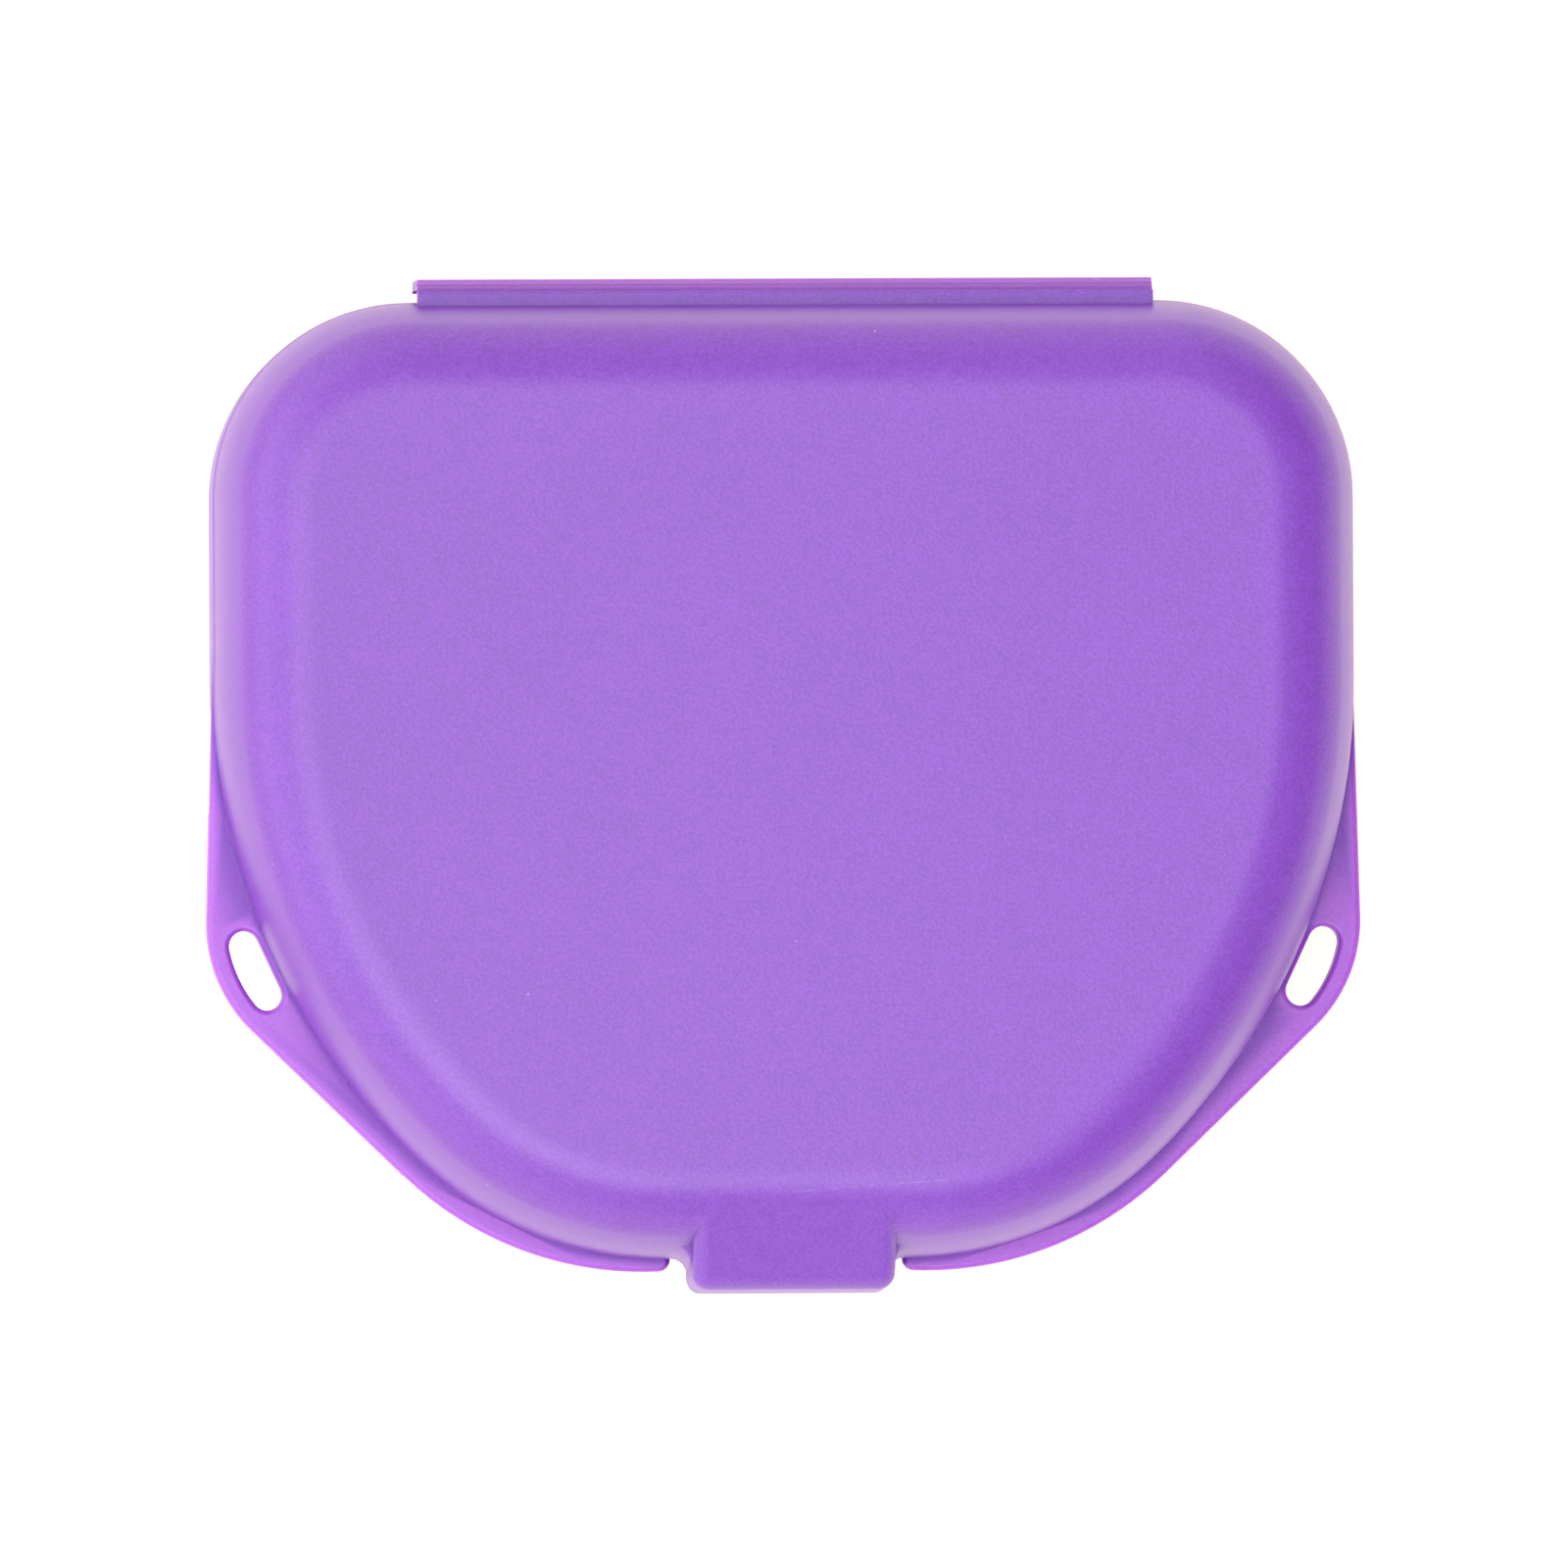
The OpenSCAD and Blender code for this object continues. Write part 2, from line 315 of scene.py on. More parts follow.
def quarter(centre: Point2, r: float, start: float, end: float, steps: int) -> list[Point2]:
    """Gives the points of an arc in a wall's profile.

    Args:
        centre: The arc's centre, as distance in and height.
        r: Its radius.
        start: Direction of the first point, in degrees.
        end: Direction of the last point, in degrees.
        steps: Number of edges.

    Returns:
        The points, both ends among them.
    """
    return [polar(centre, r, start + (end - start) * i / steps) for i in range(steps + 1)]


def deselect() -> None:
    """Leaves edit mode and deselects everything."""
    if bpy.context.mode != "OBJECT":
        bpy.ops.object.mode_set(mode="OBJECT")
    bpy.ops.object.select_all(action="DESELECT")


class Workpiece:
    """A mesh in work, shaped in millimetres by Blender's edit-mode tools."""

    def __init__(self, name: str) -> None:
        """Adds a small plane as the start of the piece.

        Args:
            name: The piece's name.
        """
        deselect()
        bpy.ops.mesh.primitive_plane_add(size=1.0)
        self._take(name)

    def _take(self, name: str) -> None:
        """Keeps the new object under a name."""
        self.obj: bpy.types.Object = bpy.context.active_object
        self.obj.name = self.obj.data.name = name
        self.plane = Plane.PLAN

    @classmethod
    def block(cls, name: str, low: Sequence[float], high: Sequence[float]) -> Self:
        """Adds a block between two corners.

        Args:
            name: The piece's name.
            low: Its lowest corner.
            high: Its highest corner.

        Returns:
            The piece.
        """
        piece = cls.__new__(cls)
        deselect()
        lo, hi = Vector(low), Vector(high)
        bpy.ops.mesh.primitive_cube_add(size=1.0, location=(lo + hi) / 2, scale=hi - lo)
        bpy.ops.object.transform_apply(location=True, rotation=False, scale=True)
        piece._take(name)
        return piece

    def edit(self) -> None:
        """Enters edit mode on this piece alone."""
        self.rest()
        bpy.ops.object.mode_set(mode="EDIT")

    def rest(self) -> None:
        """Leaves edit mode, with only this piece selected and active."""
        deselect()
        self.obj.select_set(True)
        bpy.context.view_layer.objects.active = self.obj

    def draw(
        self, start: Point2, w: float, strokes: Sequence[Stroke], plane: Plane = Plane.PLAN
    ) -> Self:
        """Draws a closed outline and fills it with one face, which stays selected.

        Args:
            start: The outline's first point.
            w: The drawing plane's place along its normal.
            strokes: The outline's strokes in order.
            plane: The drawing plane.

        Returns:
            The piece, in edit mode.
        """
        self.plane = plane
        self.edit()
        bpy.ops.mesh.select_mode(type="VERT")
        bpy.ops.mesh.select_all(action="SELECT")
        bpy.ops.mesh.merge(type="CENTER")
        bpy.ops.transform.translate(value=plane.lift(*start, w))
        at = start
        for stroke in strokes:
            at = stroke.make(at, w, plane)
        bpy.ops.mesh.select_all(action="SELECT")
        bpy.ops.mesh.remove_doubles(threshold=MERGE)
        bpy.ops.mesh.edge_face_add()
        return self

    def raise_face(self, distance: float) -> Self:
        """Extrudes the selected face along the drawing plane's normal.

        Args:
            distance: How far the face goes.

        Returns:
            The piece, closed and with its faces outward.
        """
        bpy.ops.mesh.select_mode(type="FACE")
        bpy.ops.mesh.extrude_region_move(
            TRANSFORM_OT_translate={"value": self.plane.lift(0.0, 0.0, distance)}
        )
        bpy.ops.mesh.select_all(action="SELECT")
        bpy.ops.mesh.normals_make_consistent(inside=False)
        return self

    def follow(self, profile: Sequence[Point2], facing_up: bool) -> Self:
        """Carries the upper or lower end face along a profile by insets.

        Args:
            profile: Points of distance in and height, the first at the end face.
            facing_up: Whether the end face looks up.

        Returns:
            The piece, in edit mode.
        """
        sense = 1.0 if facing_up else -1.0
        end = profile[0][1]
        self.pick(
            Pick.FACES,
            lambda f: f.normal.z * sense > FLAT and abs(f.calc_center_median().z - end) < NEAR,
        )
        for (n0, z0), (n1, z1) in pairwise(profile):
            bpy.ops.mesh.inset(
                thickness=max(0.0, n1 - n0),
                depth=(z1 - z0) * sense,
                use_boundary=True,
                use_even_offset=True,
            )
        return self

    def pick(self, what: Pick, test: Callable[[Any], bool]) -> int:
        """Selects the faces or edges that pass a test and nothing else.

        Args:
            what: Faces or edges.
            test: Says whether one is wanted, from its place or normal.

        Returns:
            The number that is selected.
        """
        bpy.ops.mesh.select_mode(type=what.value)
        bpy.ops.mesh.select_all(action="DESELECT")
        mesh = bmesh.from_edit_mesh(self.obj.data)
        mesh.normal_update()
        found = [part for part in (mesh.faces if what is Pick.FACES else mesh.edges) if test(part)]
        for part in found:
            part.select_set(True)
        bmesh.update_edit_mesh(self.obj.data)
        return len(found)

    def round_edges(
        self, r: float, steps: int, test: Callable[[bmesh.types.BMEdge], bool]
    ) -> Self:
        """Bevels the edges that pass a test.

        Args:
            r: The rounding's radius.
            steps: Number of faces across it.
            test: Says whether an edge is wanted.

        Returns:
            The piece, in edit mode.
        """
        self.edit()
        count = self.pick(Pick.EDGES, test)
        LOG.debug("%s: %d edges rounded at %.2f mm", self.obj.name, count, r)
        if count:
            bpy.ops.mesh.bevel(offset=r, segments=steps, affect="EDGES", loop_slide=False)
        return self

    def slice(self, place: Sequence[float], normal: Sequence[float], clear: bool = False) -> Self:
        """Bisects the piece with a plane.

        Args:
            place: A point of the plane.
            normal: The plane's normal.
            clear: Whether the side that the normal points to is cut away and closed.

        Returns:
            The piece, in edit mode.
        """
        self.edit()
        bpy.ops.mesh.select_all(action="SELECT")
        bpy.ops.mesh.bisect(
            plane_co=place,
            plane_no=normal,
            use_fill=clear,
            clear_outer=clear,
            threshold=SLIVER / 2,
        )
        return self

    def _modify(self, kind: str, **settings: Any) -> Self:
        """Adds a modifier with its settings and applies it.

        Args:
            kind: The modifier's type.
            settings: Its settings.

        Returns:
            The piece, out of edit mode.
        """
        self.rest()
        bpy.ops.object.modifier_add(type=kind)
        tool = self.obj.modifiers[-1]
        for key, value in settings.items():
            setattr(tool, key, value)
        bpy.ops.object.modifier_apply(modifier=tool.name)
        return self

    def mirror(self) -> Self:
        """Adds the mirror image across the middle of the case.

        Returns:
            The piece, out of edit mode.
        """
        return self._modify("MIRROR", use_mirror_merge=False)

    def combine(self, other: "Workpiece", how: Join) -> Self:
        """Joins another solid to this one, or cuts it out of it, and uses it up.

        Args:
            other: The other solid.
            how: Union or cut.

        Returns:
            The piece, out of edit mode.
        """
        other.rest()
        self._modify("BOOLEAN", operation=how.value, solver="EXACT", object=other.obj)
        bpy.data.objects.remove(other.obj, do_unlink=True)
        return self

    def clean(self) -> Self:
        """Merges points that lie together and turns the faces outward.

        Returns:
            The piece, out of edit mode.
        """
        self.edit()
        bpy.ops.mesh.select_all(action="SELECT")
        bpy.ops.mesh.remove_doubles(threshold=MERGE)
        bpy.ops.mesh.dissolve_degenerate(threshold=SLIVER)
        bpy.ops.mesh.normals_make_consistent(inside=False)
        self.rest()
        return self

    def finish(self, smooth: float = 32.0) -> bpy.types.Object:
        """Brings the piece to metres and smooths its shading, with flat faces kept flat.

        Args:
            smooth: Largest angle between faces that are shaded as one, in degrees.

        Returns:
            The finished object, at the origin.
        """
        self.clean()
        self.obj.scale = (MM, MM, MM)
        bpy.ops.object.transform_apply(location=True, rotation=True, scale=True)
        bpy.ops.object.shade_smooth_by_angle(angle=math.radians(smooth))
        self._modify("WEIGHTED_NORMAL", keep_sharp=True)
        return self.obj


@dataclass(frozen=True)
class CaseOutline:
    """The D-shaped outline that tray and lid share.

    Attributes:
        half_w: Half of the width across the straight sides.
        front_y: Place of the front land.
        rear_y: Place of the straight rear edge.
        rear_r: Radius of the rear corners.
        side_r: Radius of the long side curves.
        side_turn: Angle that each side curve turns through.
        front_r: Radius of the front curves.
        side_l: Length of the straight sides.
        steps: Edges along a front curve, a side curve and a rear corner.
    """

    half_w: float = 40.6
    front_y: float = -33.75484
    rear_y: float = 34.25484
    rear_r: float = 14.0
    side_r: float = 47.0
    side_turn: float = 46.0
    front_r: float = 25.3
    side_l: float = 13.1
    steps: tuple[int, int, int] = (20, 28, 30)

    @property
    def rear_centre(self) -> Point2:
        """Centre of the right-hand rear corner."""
        return (self.half_w - self.rear_r, self.rear_y - self.rear_r)

    @property
    def side_centre(self) -> Point2:
        """Centre of the right-hand side curve."""
        return (self.half_w - self.side_r, self.rear_centre[1] - self.side_l)

    @property
    def front_centre(self) -> Point2:
        """Centre of the right-hand front curve."""
        return polar(self.side_centre, self.side_r - self.front_r, -self.side_turn)

    def draw(self, piece: Workpiece, z: float, inset: float = 0.0) -> Workpiece:
        """Draws the outline, or one parallel to it, at a height.

        Args:
            piece: The piece that it is drawn on.
            z: The height.
            inset: Distance in from the outline.

        Returns:
            The piece, with the filled outline selected.
        """
        front, side, rear = self.front_centre, self.side_centre, self.rear_centre
        front_turn = 90.0 - self.side_turn
        start = (front[0], self.front_y + inset)
        in_front, beside, in_corner = self.steps
        strokes: list[Stroke] = [
            Arc(front, front_turn, in_front),
            Arc(side, self.side_turn, beside),
            Line((self.half_w - inset, rear[1])),
            Arc(rear, 90.0, in_corner),
            Line((-rear[0], self.rear_y - inset)),
            Arc((-rear[0], rear[1]), 90.0, in_corner),
            Line((inset - self.half_w, side[1])),
            Arc((-side[0], side[1]), self.side_turn, beside),
            Arc((-front[0], front[1]), front_turn, in_front),
        ]
        return piece.draw(start, z, strokes)

    def outside(self, x: float, y: float) -> float:
        """Gives the distance of a point outside the outline.

        Args:
            x: Place across the case.
            y: Place along the case.

        Returns:
            The distance, negative inside.
        """
        x = abs(x)
        for centre, r, low, high in (
            (self.front_centre, self.front_r, -90.0, -self.side_turn),
            (self.side_centre, self.side_r, -self.side_turn, 0.0),
            (self.rear_centre, self.rear_r, 0.0, 90.0),
        ):
            if low <= heading(centre, (x, y)) <= high:
                return math.dist(centre, (x, y)) - r
        return max(x - self.half_w, y - self.rear_y, self.front_y - y)


@dataclass(frozen=True)
class ShellSizes:
    """Sizes of a shell's wall.

    Attributes:
        rim_z: Height of the rim.
        crown_z: Height of the flat middle's outer face.
        edge_r: Radius of the rounded edge.
        wall: Wall thickness.
        lean: How far the wall leans in from the rim to its rounded edge.
        edge_turn: Angle that the rounded edge turns through, in degrees.
        bow_r: Radius of the bowed wall that turns through the rest of the right angle.
        rim_r: Radius of the rim's outer edge.
        rim_h: Height of the first ring below that edge.
        land: Width of the first ring of the flat middle.
        edge_steps: Faces across the rounded edge.
        rim_steps: Faces across the rim's outer edge.
    """

    rim_z: float
    crown_z: float
    edge_r: float
    wall: float = 1.3
    lean: float = 0.2
    edge_turn: float = 90.0
    bow_r: float = 0.0
    rim_r: float = 0.22
    rim_h: float = 0.02
    land: float = 0.4
    edge_steps: int = 18
    rim_steps: int = 4

    @property
    def sense(self) -> float:
        """Upward for a lid and downward for a tray."""
        return math.copysign(1.0, self.crown_z - self.rim_z)

    @property
    def edge_centre(self) -> Point2:
        """Centre of the rounded edge, as distance in and height."""
        sin = math.sin(math.radians(self.edge_turn))
        n = self.lean + self.bow_r * (1.0 - sin) + self.edge_r * sin
        return (n, self.crown_z - self.sense * self.edge_r)

    @property
    def inner_r(self) -> float:
        """Radius of the rounded edge inside the wall."""
        return self.edge_centre[0] - self.lean - self.wall

    @property
    def inner_centre(self) -> Point2:
        """Centre of the rounded edge inside the wall, as distance in and height."""
        return (self.edge_centre[0], self.crown_z - self.sense * (self.wall + self.inner_r))

    def inner_n(self, z: float) -> float:
        """Gives the inner face's distance in from the outline at a height."""
        share = (z - self.rim_z) / (self.inner_centre[1] - self.rim_z)
        return self.wall + self.lean * share

    def outer_profile(self, start_z: float) -> list[Point2]:
        """Gives the outer profile from the rim to the flat middle.

        Args:
            start_z: Height of its first point.

        Returns:
            The points as distance in and height.
        """
        first = 180.0 - (90.0 - self.edge_turn) * self.sense
        last = 180.0 - 90.0 * self.sense
        turn = quarter(self.edge_centre, self.edge_r, first, last, self.edge_steps)
        if self.bow_r > 0.0:
            centre = polar(self.edge_centre, self.edge_r - self.bow_r, first)
            bow = quarter(centre, self.bow_r, 180.0, first, self.edge_steps // 2)
            turn = bow[:-1] + turn
        return [(0.0, start_z), *turn, (self.edge_centre[0] + self.land, self.crown_z)]

    def inner_profile(self, start: Point2) -> list[Point2]:
        """Gives the inner profile from a point at the rim to the flat middle.

        Args:
            start: Its first point, as distance in and height.

        Returns:
            The points as distance in and height.
        """
        last = 180.0 - 90.0 * self.sense
        turn = quarter(self.inner_centre, self.inner_r, 180.0, last, self.edge_steps)
        floor = self.crown_z - self.sense * self.wall
        return [start, *turn, (self.inner_centre[0] + self.land, floor)]

    def solid(self, name: str, outline: CaseOutline) -> Workpiece:
        """Models the outer form with its rounded rim, still solid.

        Args:
            name: The piece's name.
            outline: The outline in plan.

        Returns:
            The piece, in edit mode.
        """
        start = self.rim_z + self.sense * self.rim_r
        ring = self.sense * self.rim_h
        body = outline.draw(Workpiece(name), start).raise_face(ring)
        body.follow(self.outer_profile(start + ring), facing_up=self.sense > 0.0)
        last = 180.0 + 90.0 * self.sense
        rim = quarter((self.rim_r, start), self.rim_r, 180.0, last, self.rim_steps)
        return body.follow(rim, facing_up=self.sense < 0.0)

    def hollow(self, name: str, outline: CaseOutline, mouth: Sequence[Point2]) -> Workpiece:
        """Models the space inside, to be cut out.

        Args:
            name: The piece's name.
            outline: The outline in plan.
            mouth: Points of distance in and height, from the opening to the inner face.

        Returns:
            The piece, in edit mode.
        """
        n, z = mouth[0]
        out = self.sense * OVERCUT
        space = outline.draw(Workpiece(name), z - out, n).raise_face(out)
        profile = [*mouth[:-1], *self.inner_profile(mouth[-1])]
        return space.follow(profile, facing_up=self.sense > 0.0)


def right_angle(e: bmesh.types.BMEdge) -> bool:
    """Says whether an edge lies between two faces at about a right angle."""
    return len(e.link_faces) == 2 and SQUARE[0] < e.calc_face_angle(0.0) < SQUARE[1]


def mid(e: bmesh.types.BMEdge) -> Vector:
    """Gives the middle of an edge."""
    return (e.verts[0].co + e.verts[1].co) / 2


def level(e: bmesh.types.BMEdge, z: float) -> bool:
    """Says whether both ends of an edge lie at a height."""
    return all(abs(v.co.z - z) < NEAR for v in e.verts)


def abreast(e: bmesh.types.BMEdge, y: float) -> bool:
    """Says whether both ends of an edge lie at a place along the case."""
    return all(abs(v.co.y - y) < NEAR for v in e.verts)


@dataclass(frozen=True)
class Ledge:
    """The ledge behind a wall that a hinge web grows from.

    Attributes:
        half_x: Half of its length.
        low: Height of its lower face.
        high: Height of its upper face.
        end_y: Place of its end.
        soft_r: Radius of its rounded end edge.
        soft_steps: Faces across that edge.
    """

    half_x: float
    low: float
    high: float
    end_y: float = 35.05484
    soft_r: float = 0.15
    soft_steps: int = 3

    def build(self, outline: CaseOutline, wall: float, soft_z: float) -> Workpiece:
        """Models the ledge, from inside the wall outward.

        Args:
            outline: The wall's outline.
            wall: Thickness of the wall.
            soft_z: Height of the end edge that is rounded.

        Returns:
            The ledge.
        """
        low = (-self.half_x, outline.rear_y - 2 * wall, self.low)
        ledge = Workpiece.block("ledge", low, (self.half_x, self.end_y, self.high))
        return ledge.round_edges(
            self.soft_r, self.soft_steps, lambda e: level(e, soft_z) and abreast(e, self.end_y)
        )


@dataclass
class Tray:
    """The tray with its lip, flange, slotted ears, hinge ledge and catch rib.

    Attributes:
        outline: The outline in plan.
        flange_line: The outline that the flange and the ears are laid out from.
        shell: The wall's sizes.
        lip_n: Distance from the outline to the lip's outer face.
        lip_z: Height of the lip's top.
        lip_soft: Chamfer of the lip's outer edge.
        lip_land: Width of the first ring of the lip's top.
        mouth_soft: Chamfer of the lip's inner edge.
        flange_top: Height of the flange's top face.
        flange_t: Thickness of the flange.
        flange_w: Reach of the flange beyond the wall where it meets the ear.
        flange_r: Radius of the flange's outer curve, which nears the wall toward the latch.
        flange_end: Distance of the flange's ends from the middle.
        flange_end_r: Radius of those ends.
        flange_rear: Place of the rear end, where the flange runs out into the wall.
        flange_steps: Edges along the flange's end, its outer curve and an ear's corner.
        ear_t: Thickness of an ear.
        ear_edge: Distance of an ear's outer side from the middle.
        ear_r: Corner radius of an ear.
        ear_rear: Place where an ear's thick part ends.
        slot_w: Width of a slot.
        slot_end_r: Radius of a slot's ends.
        slot_bar: Width of the bar outside a slot.
        slot_turn: Angle of a slot from the side of the case.
        slot_steps: Edges along a slot's ends and its outer side.
        soft_r: Rounding of the flange's edges.
        soft_steps: Faces across that rounding.
        rim_depth: How far inside the outline those edges are still rounded.
        ledge: The hinge ledge.
        catch_x: Half width of the catch rib.
        catch_z: Height of the catch rib's lower face.
        catch_h: Height of its upright nose.
        catch_reach: Reach of the catch rib.
        catch_r: Rounding of its nose.
        catch_steps: Faces across that rounding.
    """

    outline: CaseOutline
    flange_line: CaseOutline
    shell: ShellSizes = ShellSizes(rim_z=14.0, crown_z=0.0, edge_r=5.5)
    lip_n: float = 0.65
    lip_z: float = 15.5
    lip_soft: float = 0.12
    lip_land: float = 0.05
    mouth_soft: float = 0.1
    flange_top: float = 13.4
    flange_t: float = 1.5
    flange_w: float = 1.2
    flange_r: float = 24.5
    flange_end: float = 8.26
    flange_end_r: float = 0.85
    flange_rear: float = 10.0
    flange_steps: tuple[int, int, int] = (6, 24, 16)
    ear_t: float = 2.6
    ear_edge: float = 41.0
    ear_r: float = 10.5
    ear_rear: float = -1.75484
    slot_w: float = 2.4
    slot_end_r: float = 1.084
    slot_bar: float = 1.4
    slot_turn: float = 25.0
    slot_steps: tuple[int, int] = (16, 10)
    soft_r: float = 0.4
    soft_steps: int = 5
    rim_depth: float = 0.3
    ledge: Ledge = Ledge(half_x=25.7, low=10.375, high=11.575)
    catch_x: float = 5.5
    catch_z: float = 9.8
    catch_h: float = 0.5
    catch_reach: float = 1.0
    catch_r: float = 0.12
    catch_steps: int = 3

    @property
    def ear_centre(self) -> Point2:
        """Centre of the right-hand ear's round corner."""
        case, turn = self.flange_line, self.flange_line.side_turn
        joint = polar(case.front_centre, case.front_r + self.flange_w, -turn)
        x = self.ear_edge - self.ear_r
        cos, sin = math.cos(math.radians(turn)), math.sin(math.radians(turn))
        return (x, joint[1] + (self.ear_r + (x - joint[0]) * cos) / sin)

    def build(self) -> bpy.types.Object:
        """Models the tray.

        Returns:
            The finished object.
        """
        body = self._solid()
        body.combine(self._flange().mirror(), Join.UNION)
        ledge = self.ledge.build(self.outline, self.shell.wall, self.ledge.low)
        body.combine(ledge, Join.UNION)
        body.combine(self._catch(), Join.UNION)
        body.combine(self._hollow(), Join.CUT)
        return body.finish()

    def _solid(self) -> Workpiece:
        """Models the tray's outer form with its lip, still solid."""
        shell = self.shell
        lip = [
            (shell.rim_r, shell.rim_z),
            (self.lip_n, shell.rim_z),
            (self.lip_n, self.lip_z - self.lip_soft),
            (self.lip_n + self.lip_soft, self.lip_z),
            (self.lip_n + self.lip_soft + self.lip_land, self.lip_z),
        ]
        return shell.solid("tray", self.outline).follow(lip, facing_up=True)

    def _hollow(self) -> Workpiece:
        """Models the space inside the tray, to be cut out."""
        low = self.lip_z - self.mouth_soft
        mouth = [
            (self.shell.inner_n(self.lip_z) - self.mouth_soft, self.lip_z),
            (self.shell.inner_n(low), low),
        ]
        return self.shell.hollow("tray_hollow", self.outline, mouth)

    def _flange(self) -> Workpiece:
        """Models the right-hand flange, ear and slot as a plate that reaches into the wall."""
        case, turn = self.flange_line, self.flange_line.side_turn
        curve = polar(case.front_centre, case.front_r + self.flange_w - self.flange_r, -turn)
        end_x = self.flange_end + self.flange_end_r
        drop = math.sqrt((self.flange_r - self.flange_end_r) ** 2 - (end_x - curve[0]) ** 2)
        end = (end_x, curve[1] - drop)
        first = heading(curve, end)
        inside = case.front_y + case.front_r / 3
        tail = case.half_w - self.shell.wall * 2
        at_end, in_front, round_ear = self.flange_steps
        strokes: list[Stroke] = [
            Line((self.flange_end, end[1])),
            Arc(end, 180.0 + first, at_end),
            Arc(curve, -turn - first, in_front),
            Line(polar(self.ear_centre, self.ear_r, -turn)),
            Arc(self.ear_centre, turn, round_ear),
            Line((self.outline.half_w, self.flange_rear)),
            Line((tail, self.flange_rear)),
            Line((case.half_w / 2, self.ear_rear)),
        ]
        plate = Workpiece("flange").draw((self.flange_end, inside), self.flange_top, strokes)
        plate.raise_face(-self.flange_t)
        plate.slice((0.0, self.ear_rear, 0.0), (0.0, 1.0, 0.0))
        low = self.flange_top - self.flange_t
        foot = self.flange_top - self.ear_t
        root = Vector((*case.front_centre, 0.0))
        across = Vector((*polar((0.0, 0.0), 1.0, 90.0 - turn), 0.0))
        plate.slice(root, across)

        def under_ear(f: bmesh.types.BMFace) -> bool:
            """Picks the lower face of the ear's thick part."""
            m = f.calc_center_median()
            return f.normal.z < -FLAT and m.y < self.ear_rear and (m - root).dot(across) > 0.0

        plate.pick(Pick.FACES, under_ear)
        down = (0.0, 0.0, foot - low)
        bpy.ops.mesh.extrude_region_move(TRANSFORM_OT_translate={"value": down})
        plate.combine(self._slot(), Join.CUT)

        def rim(e: bmesh.types.BMEdge) -> bool:
            """Picks the outer edges of the flange and the edges of the slot."""
            m = mid(e)
            at_rim = any(level(e, z) for z in (self.flange_top, low, foot))
            in_view = case.outside(m.x, m.y) > -self.rim_depth
            return at_rim and right_angle(e) and e.is_convex and in_view

        return plate.round_edges(self.soft_r, self.soft_steps, rim)

    def _slot(self) -> Workpiece:
        """Models the right-hand slot, with a bowed outer side and round ends, to be cut out."""
        reach = self.ear_r - self.slot_bar
        inner = reach - self.slot_w
        along = math.sqrt((reach - self.slot_end_r) ** 2 - (inner + self.slot_end_r) ** 2)
        middle = polar(self.ear_centre, inner + self.slot_end_r, -self.slot_turn)
        rear = polar(middle, along, 90.0 - self.slot_turn)
        front = polar(middle, along, -90.0 - self.slot_turn)
        inward = 180.0 - self.slot_turn
        low, high = heading(self.ear_centre, front), heading(self.ear_centre, rear)
        at_end, outside = self.slot_steps
        strokes: list[Stroke] = [
            Line(polar(front, self.slot_end_r, inward)),
            Arc(front, (low - inward) % 360.0, at_end),
            Arc(self.ear_centre, high - low, outside),
            Arc(rear, (inward - high) % 360.0, at_end),
        ]
        start = polar(rear, self.slot_end_r, inward)
        cutter = Workpiece("slot").draw(start, self.flange_top + self.ear_t, strokes)
        return cutter.raise_face(-3 * self.ear_t)

    def _catch(self) -> Workpiece:
        """Models the catch rib, with its upper face sloped for the hook to ride over."""
        wall = self.shell.wall
        front = self.outline.front_y
        nose = front - self.catch_reach
        back = front + wall
        top = self.catch_z + self.catch_h
        strokes = [
            Line((nose, self.catch_z)),
            Line((nose, top)),
            Line((back, top + self.catch_reach + wall)),
        ]
        rib = Workpiece("catch").draw((back, self.catch_z), -self.catch_x, strokes, Plane.SECTION)
        rib.raise_face(2 * self.catch_x)
        return rib.round_edges(self.catch_r, self.catch_steps, lambda e: abreast(e, nose))


